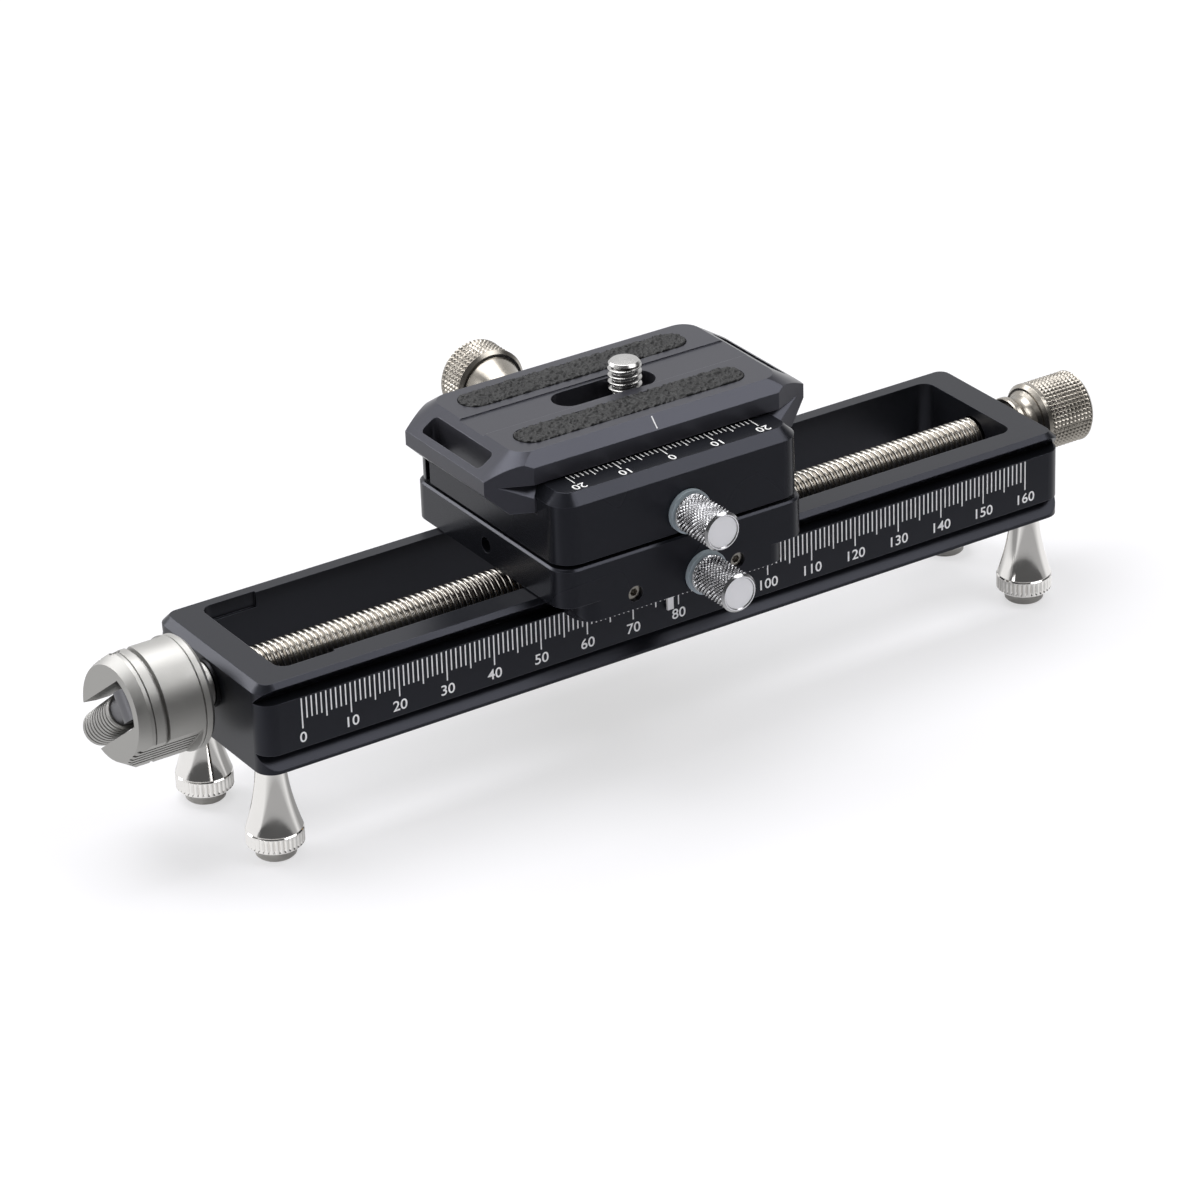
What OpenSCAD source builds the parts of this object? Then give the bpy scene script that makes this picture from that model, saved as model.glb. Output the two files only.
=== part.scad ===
// Macro focusing rail. A screw moves a carriage along a dovetail rail. The carriage
// holds a panning quick-release clamp with a camera plate, and four feet carry the rail.
// Millimetres: X along the rail, Y to the back, Z up, origin under the rail's centre.

/* [Rail] */
// Length of the rail
rail_l = 177.3; // [150:0.1:220]
// Width of the rail
rail_w = 38.2; // [37:0.1:41]
// Height of the rail
rail_h = 17.4; // [17:0.1:19]
// Radius of the rail's upright corners
rail_r = 3.5; // [3:0.5:7]
// Chamfer round the rail's top edge
rail_chamfer = 1.45; // [1:0.05:1.6]
// Thickness of the end walls
end_wall = 7.25; // [6.5:0.05:9]
// Thickness of the window's front wall
front_wall = 6.3; // [5:0.1:6.6]
// Thickness of the window's rear wall
rear_wall = 4.1; // [4:0.1:5.5]
// Radius of the window's corners
window_r = 2.5; // [1:0.5:4]
// Depth of the dovetail grooves
groove_d = 3.2; // [2.6:0.1:3.3]
// Height of the scale band's top edge
band_top = 13.85; // [13.5:0.05:14.2]
// Upright lip under the lower groove
lip_h = 0.6; // [0.4:0.1:1]
// Length of the shallow relief at the window's left end
relief_l = 11.5; // [6:0.5:16]
// Depth of that relief into the walls
relief_d = 0.6; // [0.3:0.1:0.7]
// Height of that relief
relief_h = 3; // [1:0.5:3]

/* [Feet] */
// Height of a foot, from the floor to the rail
foot_h = 19.2; // [16:0.1:26]
// Distance of a foot's axis from the rail's end
foot_inset = 4.45; // [4:0.05:5]
// Distance of a foot's axis from the middle of the rail
foot_y = 12.9; // [11:0.1:13.5]
// Radius of a foot's knurled ring
foot_ring_r = 5.35; // [4.5:0.05:6]
// Height of the knurled ring
foot_ring_h = 3.4; // [2:0.1:5]
// Radius of a foot's waist at the rail
foot_top_r = 2.75; // [2.6:0.05:4]
// Radius of a foot's pad
foot_pad_r = 3.75; // [3:0.05:4.5]
// Height of a foot's pad
foot_pad_h = 2.25; // [1.5:0.05:3]
// Radius of a foot's stud
foot_stud_r = 2; // [1.5:0.1:2.4]
// Length of a foot's stud
foot_stud_l = 6; // [4:0.5:9]

/* [Lead screw] */
// Height of the screw's axis over the rail's underside
screw_z = 11.2; // [11:0.1:11.8]
// Outer radius of the thread
screw_r = 4; // [3.5:0.1:4]
// Pitch of the thread
screw_pitch = 1.25; // [1:0.05:1.5]
// Radius of the screw's plain ends
journal_r = 3; // [2.5:0.1:3]
// Radial running clearance of shafts and the nut
run_gap = 0.05; // [0.03:0.01:0.08]
// Outer radius of the bushes
bush_r = 4.2; // [3.8:0.1:4.4]
// Radius of the bushes' flanges
bush_flange_r = 4.5; // [4.4:0.1:5]
// Thickness of the bushes' flanges
bush_flange_t = 0.8; // [0.5:0.1:1.2]
// How deep the bushes lie behind the window's end walls
bush_inset = 2; // [1.5:0.1:3]
// Thickness of the thrust washers
thrust_t = 0.6; // [0.4:0.1:1]

/* [Crank knob] */
// Radius of the crank knob
crank_r = 10.75; // [10:0.05:12]
// Length of the crank knob
crank_l = 20.4; // [18:0.1:24]
// Length of the crank knob's narrow hub
crank_hub_l = 3.6; // [3:0.1:4.5]
// Radius of the crank knob's hub
crank_hub_r = 4.4; // [4:0.1:6]
// Angle of the grip's slot below the level
crank_turn = 38; // [0:1:90]
// Distance of the ribbed flats from the axis
crank_flat = 9.3; // [9:0.1:10]
// Angle between the ribbed flats and the slot's sides
crank_flat_turn = 8; // [0:1:15]
// Slope of the crank knob's front towards the slot's closed end
crank_slope = 6; // [0:0.5:8]
// Length of the front section, in front of the ring groove
crank_front_l = 7; // [6:0.1:8]
// Width of the grip's slot
slot_w = 8.8; // [8.2:0.1:9.5]
// Depth of the grip's slot
slot_d = 8.6; // [8.3:0.1:9]
// Distance of the slot's inner end from the axis
slot_end = 8; // [7.8:0.1:8.4]
// Distance of the folding pin from the axis
hinge_off = 4.2; // [3.8:0.1:4.4]
// Radius of the folding pin
crank_pin_r = 1; // [0.8:0.1:1.2]
// Radius of the ribbed grip
grip_r = 3.4; // [3.2:0.1:3.7]
// Radius of the grip's hinge block
block_r = 2.8; // [2.6:0.1:3]
// Length of the ribbed grip
grip_l = 14; // [11:0.1:15]
// Number of ribs round the grip
grip_ribs = 9; // [5:1:10]

/* [Fine knob] */
// Radius of the right knob's drum
fine_r = 7.05; // [6.5:0.05:8]
// Length of the right knob's drum
fine_drum_l = 11.8; // [8:0.1:13]
// Length of the right knob's polished neck
fine_neck_l = 4.8; // [4.6:0.1:8]

/* [Carriage] */
// Reading of the rail's scale at the carriage's centre
reading = 77.7; // [40:0.1:120]
// Length of the carriage
carriage_l = 53.9; // [50:0.1:58]
// Width of the carriage
carriage_w = 51.4; // [50:0.1:54]
// Height of the carriage's block
carriage_h = 7.6; // [7:0.1:9]
// Gap between the carriage's block and the rail's top
slide_gap = 0.2; // [0.1:0.05:0.4]
// Radius of the carriage's upright corners
carriage_r = 4; // [2:0.5:5]
// Chamfer round the carriage's top edge
carriage_chamfer = 0.4; // [0.2:0.1:0.8]
// Length of the skirts
skirt_l = 45.2; // [42:0.1:48]
// How far the skirts hang below the block
skirt_h = 3.95; // [3.6:0.05:4.1]
// Gap between the carriage's dovetail and the rail
dovetail_gap = 0.3; // [0.2:0.05:0.4]
// Length of the gib strip
gib_l = 42; // [36:0.5:44]
// Thickness of the gib strip
gib_t = 1.5; // [1.2:0.1:1.8]
// Distance of the two set screws from the carriage's centre
set_screw_x = 11.2; // [9:0.1:14]
// Radius of the small set screws
grub_r = 1.5; // [1.2:0.1:1.6]
// Length of the small set screws
grub_l = 3.6; // [2.5:0.1:4]
// How deep the gib's set screws lie in the skirt
grub_recess = 0.7; // [0.3:0.1:1.5]
// Length of the drive nut
nut_l = 22; // [20:0.5:24]
// Width of the drive nut
nut_w = 16; // [15:0.5:18]
// Height of the drive nut
nut_h = 11.6; // [11:0.1:12]
// Width of the white pointer
pointer_w = 1.3; // [1:0.1:2]
// Length of the pointer below the skirt
pointer_l = 6; // [4:0.1:8]

/* [Lock knobs] */
// Radius of the lock knobs
lock_r = 3.8; // [3.4:0.1:4.2]
// Length of a lock knob's knurled body
lock_l = 10.2; // [8:0.1:13]
// Radius of the lock knobs' collars
lock_collar_r = 4.25; // [4:0.05:4.6]
// Thickness of the lock knobs' collars
lock_collar_t = 1; // [0.6:0.1:1.5]
// Radius of the lock screws
lock_stud_r = 2; // [1.5:0.1:2]
// Offset of the lower lock knob from the carriage's centre
slide_lock_x = 3.9; // [0:0.1:6]
// Height of the lower lock knob
slide_lock_z = 16.7; // [16.6:0.1:17]
// Offset of the upper lock knob from the clamp's centre
pan_lock_x = 0.9; // [0:0.1:3]
// Height of the upper lock knob over the clamp's underside
pan_lock_h = 3.9; // [3.6:0.1:4.2]

/* [Clamp] */
// Gap between the clamp and the carriage
pan_gap = 0.7; // [0.5:0.05:1]
// Length of the clamp
clamp_l = 53.2; // [50:0.1:56]
// Width of the clamp with its closed jaw
clamp_w = 50.5; // [50:0.1:52]
// Height of the clamp
clamp_h = 13.5; // [13.4:0.1:14]
// Radius of the clamp's upright corners
clamp_r = 4.5; // [3:0.5:6]
// Chamfer along the clamp's top edges
clamp_chamfer = 2; // [1:0.1:2.4]
// Thickness of the clamp's floor
clamp_floor = 4.9; // [4.8:0.1:5.2]
// Thickness of the movable jaw
jaw_t = 4.25; // [4:0.05:5]
// Slit between the fixed body and the jaw
jaw_slit = 1.5; // [1:0.1:2]
// Gap between the jaws and the plate
jaw_gap = 0.15; // [0.1:0.05:0.3]
// Radius of the pan axle
post_r = 6; // [5:0.1:6.2]
// Radius of the disc that holds the clamp down
cap_r = 8.6; // [8:0.1:9]
// Thickness of that disc
cap_t = 1.2; // [0.8:0.1:1.3]
// Radius of the jaw's screw
jaw_screw_r = 2.5; // [2:0.1:2.6]
// Height of the jaw's screw over the clamp's underside
jaw_screw_h = 4.6; // [4.4:0.1:5]
// Distance of the guide pins from the clamp's centre
guide_x = 17; // [13:0.5:20]
// Radius of the guide pins
guide_r = 1.2; // [1:0.1:1.3]
// Thickness of the springs' wire
spring_wire = 0.4; // [0.3:0.05:0.45]
// Number of curls of each spring
spring_turns = 5; // [3:1:6]

/* [Jaw knob] */
// Radius of the rear knob's drum
jaw_knob_r = 7.4; // [6.5:0.1:8]
// Length of the rear knob's drum
jaw_drum_l = 7.4; // [6:0.1:9]
// Length of the rear knob's polished neck
jaw_neck_l = 13.8; // [10:0.1:16]

/* [Plate] */
// Length of the plate
plate_l = 69.8; // [66:0.1:74]
// Width of the plate over its edges
plate_w = 34.8; // [34:0.1:35.2]
// Thickness of the plate
plate_h = 11; // [10.6:0.1:12]
// Length of the plate's flat top
plate_top_l = 57.1; // [55:0.1:59]
// Chamfer along the plate's sides
plate_chamfer = 2.3; // [1.5:0.1:2.6]
// Depth of the plate's dovetail grooves
plate_groove = 2.8; // [2.4:0.1:3]
// Height of the plate's flange under the groove's slope
plate_flange = 2.6; // [2.2:0.1:2.8]
// How far the end slopes fall
slope_drop = 4.1; // [3:0.1:5]
// Height of the plate's upright ends
plate_end_h = 2.9; // [2:0.1:3.5]
// Gap between the plate and the clamp's front ledge
plate_gap = 0.3; // [0.2:0.05:0.5]
// Radius of the top's corners
top_r = 3.5; // [2:0.5:5]
// Length of the strap windows across the plate
strap_w = 20; // [16:0.5:22]
// Width of the strap windows
strap_t = 3.4; // [2.5:0.1:3.5]
// Distance of the strap windows from the plate's ends
strap_edge = 1.2; // [1:0.1:1.6]
// Length of the screw slot
slot_l = 21.6; // [18:0.1:26]
// Offset of the slot's middle from the plate's centre
slot_x = -0.4; // [-2:0.1:2]
// Length of a rubber pad
pad_l = 49; // [44:0.5:52]
// Width of a rubber pad
pad_w = 6.6; // [6:0.1:7]
// Distance of the pads from the plate's middle line
pad_y = 9.5; // [8.5:0.1:10]
// Offset of the pads from the plate's centre
pad_x = -0.8; // [-2:0.1:2]
// How far the pads stand out
pad_proud = 0.45; // [0.2:0.05:0.8]

/* [Camera screw] */
// Outer radius of the camera screw's thread
camera_r = 3.175; // [3:0.005:3.2]
// Pitch of the camera screw's thread
camera_pitch = 1.27; // [1:0.01:1.5]
// How far the camera screw stands over the plate
camera_out = 4.2; // [3.5:0.1:6]
// Offset of the camera screw from the plate's centre
camera_x = 4.4; // [-2:0.1:6]

/* [Hidden] */
$fn = 64;
over = 1;
half_l = rail_l / 2;
half_w = rail_w / 2;
window_l = rail_l - 2 * end_wall;
root_y = half_w - groove_d;
band_bottom = lip_h + groove_d;
edge_y = (half_w + rail_h - rail_chamfer + root_y - band_top) / 2;
edge_z = edge_y - root_y + band_top;
foot_x = half_l - foot_inset;
stud_gap = 0.05;

thread_depth = 0.6 * screw_pitch;
thread_half = window_l / 2 + 0.5;
shaft_r = journal_r - 0.5;
knob_start = half_l + thrust_t + 0.15;
knob_grip_depth = 7;
knob_screw_s = 1.6;

grip_depth = slot_d / 2 + 0.15;
pin_reach = slot_w / 2 + 3;
grip_start = 0.4;
grip_head_r = 2.6;
grip_head_t = 1.4;
grip_bolt_r = 1.5;

scale_zero = 80.5;
carriage_x = reading - scale_zero;
carriage_z = rail_h + slide_gap;
carriage_top = carriage_z + carriage_h;
hook_z = band_top + 0.25;
hook_y = root_y + dovetail_gap + hook_z - band_top;
hook_top_y = edge_y + dovetail_gap;
gib_y = hook_top_y + gib_t;
gib_top = carriage_z + 0.7;
seat_gap = 0.1;
gib_seat = gib_y + seat_gap;
nut_bolt_x = nut_l / 2 - 3;
nut_bolt_y = nut_w / 2 - 2.2;
bolt_r = 1.5;
bolt_head_r = 2.6;
bolt_head_t = 2;

clamp_z = carriage_top + pan_gap;
clamp_top = clamp_z + clamp_h;
floor_z = clamp_z + clamp_floor;
plate_z = clamp_top + 0.4 - plate_groove - plate_flange;
plate_top = plate_z + plate_h;
ledge_z = plate_z - plate_gap;
lip_top_y = plate_w / 2 - plate_groove + 0.4 + jaw_gap;
lip_low_y = plate_w / 2 + 2 * jaw_gap;
jaw_y = clamp_w / 2 - jaw_t;
fixed_y = jaw_y - jaw_slit;
ledge_back_y = 7;
post_depth = 6;
post_screw_z = carriage_top - post_depth + 1.8;
cap_z = ledge_z - cap_t - 0.5;
pan_lock_z = clamp_z + pan_lock_h;
plug_end = clamp_w / 2 - 8;
plug_l = 1.6;
jaw_screw_z = clamp_z + jaw_screw_h;
guide_z = clamp_z + clamp_floor / 2;
boss_y = cap_r + 1.4;
spring_r = guide_r + 0.15 + spring_wire / 2;
spring_pocket_r = spring_r + spring_wire / 2 + 0.1;
spring_pocket_d = 5;

camera_depth = 0.55 * camera_pitch;
camera_neck_r = camera_r - camera_depth;
camera_low = plate_top + pad_proud + 0.05;
slot_half_w = camera_r + 0.125;
wide_end_r = 3.9;
head_r = 5;
head_pocket_r = head_r + 0.4;
head_pocket_h = 5;
head_t = 3;
screw_washer_t = 0.8;
pad_recess = 0.6;
band_half = 4.1;
band_depth = 0.25;

// A rod along X, and one along Y, each from one place to another
module x_rod(x0, x1, r) {
    translate([x0, 0, 0]) rotate([0, 90, 0]) cylinder(h = x1 - x0, r = r);
}

module y_rod(y0, y1, r) {
    translate([0, y0, 0]) rotate([-90, 0, 0]) cylinder(h = y1 - y0, r = r);
}

// A turned shape along X, and one along Y, from points of radius and place
module x_turned(points) {
    rotate([0, 90, 0]) rotate_extrude() polygon(points);
}

module y_turned(points) {
    rotate([-90, 0, 0]) rotate_extrude() polygon(points);
}

module ring(h, r_out, r_in) {
    difference() {
        cylinder(h = h, r = r_out);
        translate([0, 0, -over]) cylinder(h = h + 2 * over, r = r_in);
    }
}

module rounded_rect(l, w, r) {
    square([l - 2 * r, w], center = true);
    square([l, w - 2 * r], center = true);
    for (x = [-1, 1], y = [-1, 1]) {
        translate([x * (l / 2 - r), y * (w / 2 - r)]) circle(r = r);
    }
}

// A prism along X with a profile in Y and Z
module x_prism(l, points) {
    rotate([90, 0, 90]) linear_extrude(height = l, center = true) polygon(points);
}

// A prism along Y with a profile in X and Z
module y_prism(w, points) {
    rotate([90, 0, 0]) linear_extrude(height = w, center = true) polygon(points);
}

function topped(w, h, c) =
    [[-w / 2, 0], [w / 2, 0], [w / 2, h - c], [w / 2 - c, h], [c - w / 2, h], [-w / 2, h - c]];

// A block with round upright corners and a chamfer round its top edge
module chamfered_block(l, w, h, r, c) {
    x_prism(l - 2 * r, topped(w, h, c));
    y_prism(w - 2 * r, topped(l, h, c));
    for (x = [-1, 1], y = [-1, 1]) {
        translate([x * (l / 2 - r), y * (w / 2 - r), 0]) {
            cylinder(h = h - c, r = r);
            translate([0, 0, h - c]) cylinder(h = c, r1 = r, r2 = r - c);
        }
    }
}

module at_screw() {
    translate([0, 0, screw_z]) children();
}

module at_carriage() {
    translate([carriage_x, 0, 0]) children();
}

// The crank knob's own frame: Z out of its front, X along the grip's slot
module at_crank() {
    translate([-knob_start, 0, screw_z])
        rotate([-90 - crank_turn, 0, 0]) rotate([0, -90, 0]) children();
}

module at_hinge() {
    at_crank() translate([-hinge_off, 0, crank_l - grip_depth]) children();
}

// Rail

module rail_groove(z, way) {
    reach = half_w + over;
    x_prism(rail_l + 2 * over, [[root_y, z], [reach, z], [reach, z + way * (reach - root_y)]]);
}

module window(extra, z0, z1) {
    w = rail_w - front_wall - rear_wall + 2 * extra;
    translate([0, (front_wall - rear_wall) / 2, z0])
        linear_extrude(height = z1 - z0) rounded_rect(window_l, w, window_r);
}

module rail_frame() {
    color([0.16, 0.16, 0.18])
    difference() {
        chamfered_block(rail_l, rail_w, rail_h, rail_r, rail_chamfer);
        for (side = [0, 1]) mirror([0, side, 0]) {
            rail_groove(band_top, 1);
            rail_groove(band_bottom, -1);
        }
        window(0, -over, rail_h + over);
        intersection() {
            window(relief_d, rail_h - relief_h, rail_h + over);
            translate([-half_l, -half_w, 0]) cube([end_wall + relief_l, rail_w, rail_h + 2 * over]);
        }
        at_screw() x_rod(-half_l - over, half_l + over, bush_r);
        for (side = [0, 1]) mirror([side, 0, 0])
            at_screw() x_rod(half_l - bush_flange_t, half_l + over, bush_flange_r);
        for (x = [-1, 1], y = [-1, 1]) translate([x * foot_x, y * foot_y, -over])
            cylinder(h = foot_stud_l + 0.5 + over, r = foot_stud_r + stud_gap);
    }
}

module screw_bushes() {
    color([0.72, 0.55, 0.3])
    for (side = [0, 1]) mirror([side, 0, 0]) at_screw() difference() {
        union() {
            x_rod(half_l - end_wall + bush_inset, half_l, bush_r);
            x_rod(half_l - bush_flange_t, half_l, bush_flange_r);
        }
        x_rod(half_l - end_wall - over, half_l + over, journal_r + run_gap);
    }
}

// Feet

function foot_r(t) = foot_top_r + (foot_ring_r - 0.1 - foot_top_r) * pow(t, 1.8);

module foot_post() {
    stem = foot_h - foot_pad_h - foot_ring_h;
    steps = 10;
    c = 0.35;
    spigot_h = foot_pad_h / 2;
    rotate_extrude() polygon(concat(
        [for (i = [0 : steps]) [foot_r(i / steps), -stem * i / steps]],
        [[foot_ring_r - c, -stem], [foot_ring_r, -stem - c]],
        [[foot_ring_r, -stem - foot_ring_h + c], [foot_ring_r - c, -stem - foot_ring_h]],
        [[foot_stud_r - 0.5, -stem - foot_ring_h], [foot_stud_r - 0.5, -stem - foot_ring_h - spigot_h]],
        [[0, -stem - foot_ring_h - spigot_h], [0, foot_stud_l], [foot_stud_r, foot_stud_l], [foot_stud_r, 0]]
    ));
}

module foot_pad() {
    c = 0.3;
    difference() {
        translate([0, 0, -foot_h]) {
            cylinder(h = c, r1 = foot_pad_r - c, r2 = foot_pad_r);
            translate([0, 0, c]) cylinder(h = foot_pad_h - c, r = foot_pad_r);
        }
        translate([0, 0, -foot_h + foot_pad_h / 2 - 0.02])
            cylinder(h = foot_pad_h, r = foot_stud_r - 0.5 + stud_gap);
    }
}

module at_feet() {
    for (x = [-1, 1], y = [-1, 1]) translate([x * foot_x, y * foot_y, 0]) children();
}

module foot_posts() {
    color([0.8, 0.8, 0.78]) at_feet() foot_post();
}

module foot_pads() {
    color([0.55, 0.54, 0.52]) at_feet() foot_pad();
}

// Lead screw and its knobs

function thread_points(start, end, r, depth, pitch) = [
    for (i = [0 : floor((end - start) / pitch) - 1]) let (s = start + i * pitch) each [
        [r - depth, s + 0.1 * pitch],
        [r, s + 0.42 * pitch],
        [r, s + 0.58 * pitch],
        [r - depth, s + 0.9 * pitch]
    ]
];

module lead_screw() {
    root_r = screw_r - thread_depth;
    shaft_end = knob_start + knob_grip_depth;
    color([0.82, 0.81, 0.78]) at_screw() x_turned(concat(
        [[0, -shaft_end], [shaft_r, -shaft_end], [shaft_r, -half_l], [journal_r, -half_l]],
        [[journal_r, -thread_half], [root_r, -thread_half]],
        thread_points(-thread_half, thread_half, screw_r, thread_depth, screw_pitch),
        [[root_r, thread_half], [journal_r, thread_half]],
        [[journal_r, half_l], [shaft_r, half_l], [shaft_r, shaft_end], [0, shaft_end]]
    ));
}

module thrust_washers() {
    color([0.72, 0.55, 0.3])
    for (side = [0, 1]) mirror([side, 0, 0]) at_screw() difference() {
        x_rod(half_l + seat_gap, half_l + seat_gap + thrust_t, bush_flange_r);
        x_rod(half_l, half_l + 2 * thrust_t, shaft_r + stud_gap);
    }
}

module crank_drum() {
    c = 0.7;
    groove = crank_l - crank_front_l;
    fine = groove + 2.1;
    bead = crank_hub_l + 1.8;
    cone = fine + 1;
    rotate_extrude() polygon([
        [0, 0], [crank_hub_r - 0.3, 0], [crank_hub_r, 0.3], [crank_hub_r, crank_hub_l],
        [crank_r - c, crank_hub_l], [crank_r - 0.1, crank_hub_l + c],
        [crank_r - 0.1, bead], [crank_r - 0.35, bead + 0.1], [crank_r, bead + 0.35],
        [crank_r, groove - 0.5], [crank_r - 0.9, groove - 0.3], [crank_r - 0.9, groove + 0.1],
        [crank_r - 0.1, groove + 0.4], [crank_r - 0.1, fine], [crank_r - 0.4, fine + 0.1],
        [crank_r - 0.1, fine + 0.3], [crank_r - 0.1, cone], [crank_r - 2.5, crank_l],
        [0, crank_l]
    ]);
}

// The slot is open at one side, and its closed end is round
module crank_slot() {
    translate([0, 0, crank_l - slot_d]) linear_extrude(height = slot_d + over) intersection() {
        translate([-slot_end, -slot_w / 2]) square([3 * crank_r, slot_w]);
        union() {
            circle(r = slot_end);
            translate([0, -slot_w]) square([3 * crank_r, 2 * slot_w]);
        }
    }
}

module crank_front_slope() {
    translate([crank_r, 0, crank_l]) rotate([0, -crank_slope, 0])
        translate([-4 * crank_r, -2 * crank_r, 0]) cube([6 * crank_r, 4 * crank_r, crank_r]);
}

module crank_flats() {
    rib_step = 1.5;
    first = crank_hub_l + 2.6;
    for (side = [0, 1]) rotate([0, 0, crank_flat_turn + 180 * side]) {
        translate([-2 * crank_r, crank_flat, first]) cube([4 * crank_r, crank_r, crank_l]);
        for (i = [-2 : 2]) translate([i * rib_step - 0.3, crank_flat - 0.35, first + 0.4])
            cube([0.6, 0.7, crank_l]);
    }
}

module crank_knob() {
    color([0.78, 0.78, 0.76]) difference() {
        at_crank() difference() {
            crank_drum();
            crank_flats();
            crank_front_slope();
            crank_slot();
        }
        at_hinge() y_rod(-crank_r, pin_reach + 0.1, crank_pin_r);
        at_screw() x_rod(-knob_start - knob_grip_depth - 0.2, -half_l, shaft_r + 0.02);
        knob_screw_holes();
    }
}

module knob_screw_holes() {
    for (side = [0, 1]) mirror([side, 0, 0])
        translate([knob_start + knob_screw_s, 0, screw_z]) rotate([crank_turn - 90, 0, 0])
            cylinder(h = 2 * crank_r, r = grub_r - 0.3 + stud_gap);
}

module knob_set_screws() {
    color([0.3, 0.3, 0.32])
    for (side = [0, 1]) mirror([side, 0, 0])
        translate([knob_start + knob_screw_s, 0, screw_z]) rotate([crank_turn - 90, 0, 0])
            translate([0, 0, shaft_r]) cylinder(h = 2, r = grub_r - 0.3);
}

module fine_knob() {
    c = 0.7;
    s = knob_start;
    drum = s + fine_neck_l;
    end = drum + fine_drum_l;
    color([0.7, 0.69, 0.66]) difference() {
        at_screw() x_turned([
            [0, s], [5.4, s], [5.6, s + 0.3], [5.6, s + 1.2], [5.2, s + 1.6], [4.8, s + 2.4],
            [4.8, s + 3.2], [5.2, drum - 0.7], [fine_r - c - 0.5, drum], [fine_r - c, drum],
            [fine_r, drum + c], [fine_r, end - c], [fine_r - c, end], [0, end]
        ]);
        at_screw() x_rod(half_l, s + knob_grip_depth + 0.2, shaft_r + 0.02);
        knob_screw_holes();
    }
}

module crank_pin() {
    color([0.75, 0.75, 0.75]) at_hinge() y_rod(1 - crank_flat, pin_reach, crank_pin_r);
}

module crank_hinge_block() {
    block_end = hinge_off + grip_start - 0.1;
    color([0.75, 0.75, 0.74]) at_hinge() difference() {
        union() {
            y_rod(-block_r - 0.1, block_r + 0.1, block_r);
            x_rod(0, block_end, block_r);
        }
        y_rod(-2 * block_r, 2 * block_r, crank_pin_r + run_gap);
        x_rod(block_r - 0.4, block_end + over, grip_bolt_r);
    }
}

module grip_screw() {
    start = hinge_off + grip_start;
    end = start + grip_l - 0.5;
    color([0.7, 0.7, 0.7]) at_hinge() {
        x_rod(block_r - 0.4, end, grip_bolt_r);
        x_rod(end - grip_head_t, end, grip_head_r);
    }
}

module crank_grip() {
    start = hinge_off + grip_start;
    end = start + grip_l;
    c = 0.9;
    step = (grip_l - c - 1) / grip_ribs;
    head_seat = end - 0.5 - grip_head_t;
    color([0.76, 0.76, 0.76]) at_hinge() difference() {
        x_turned(concat(
            [[0, start], [grip_r - 0.3, start], [grip_r, start + 0.3]],
            [for (i = [0 : grip_ribs - 1]) let (s = start + 0.8 + i * step) each [
                [grip_r, s], [grip_r - 0.35, s + 0.15],
                [grip_r - 0.35, s + 0.35 * step], [grip_r, s + 0.45 * step]
            ]],
            [[grip_r, end - c], [grip_r - 0.35, end - 0.45], [grip_head_r + 0.15, end], [0, end]]
        ));
        x_rod(start - over, end + over, grip_bolt_r + run_gap);
        x_rod(head_seat - 0.05, end + over, grip_head_r + run_gap);
    }
}

// Carriage

module carriage_body() {
    skirt_z = carriage_z - skirt_h;
    low = skirt_z - over;
    cavity = [
        [hook_top_y, carriage_z], [hook_top_y, edge_z], [hook_y, hook_z],
        [half_w + dovetail_gap, hook_z], [half_w + dovetail_gap, low]
    ];
    mirrored = [for (i = [len(cavity) - 1 : -1 : 0]) [-cavity[i][0], cavity[i][1]]];
    pocket_top = gib_top + seat_gap;
    color([0.15, 0.15, 0.17]) at_carriage() difference() {
        union() {
            translate([0, 0, carriage_z])
                chamfered_block(carriage_l, carriage_w, carriage_h, carriage_r, carriage_chamfer);
            translate([0, 0, skirt_z]) linear_extrude(height = skirt_h + over)
                rounded_rect(skirt_l, carriage_w, carriage_r);
        }
        x_prism(carriage_l + 2 * over, concat(cavity, mirrored));
        x_prism(gib_l + 2 * seat_gap, [
            [-gib_seat, low], [-gib_seat, pocket_top], [seat_gap - hook_top_y, pocket_top],
            [seat_gap - hook_top_y, carriage_z - seat_gap], [-root_y, carriage_z - seat_gap], [-root_y, low]
        ]);
        for (side = [-1, 1]) translate([side * set_screw_x, 0, slide_lock_z])
            y_rod(-carriage_w / 2 - over, -gib_seat + seat_gap, grub_r + stud_gap);
        translate([slide_lock_x, 0, slide_lock_z])
            y_rod(-carriage_w / 2 - over, -gib_seat + seat_gap, lock_stud_r + stud_gap);
        translate([0, 0, carriage_top - post_depth]) cylinder(h = post_depth + over, r = post_r);
        translate([0, 0, post_screw_z]) x_rod(-carriage_l, -post_r + over, grub_r + stud_gap);
        for (x = [-1, 1], y = [-1, 1]) translate([x * nut_bolt_x, y * nut_bolt_y, 0]) {
            cylinder(h = carriage_top + over, r = bolt_r + stud_gap);
            translate([0, 0, carriage_top - bolt_head_t - 0.2])
                cylinder(h = bolt_head_t + over, r = bolt_head_r + 0.2);
        }
    }
}

module drive_nut() {
    color([0.74, 0.58, 0.32]) difference() {
        at_carriage() difference() {
            translate([-nut_l / 2, -nut_w / 2, carriage_z - nut_h]) cube([nut_l, nut_w, nut_h]);
            for (x = [-1, 1], y = [-1, 1])
                translate([x * nut_bolt_x, y * nut_bolt_y, carriage_z - nut_h + 1.5])
                    cylinder(h = nut_h, r = bolt_r);
        }
        at_screw() x_rod(-half_l, half_l, screw_r + run_gap);
    }
}

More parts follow.
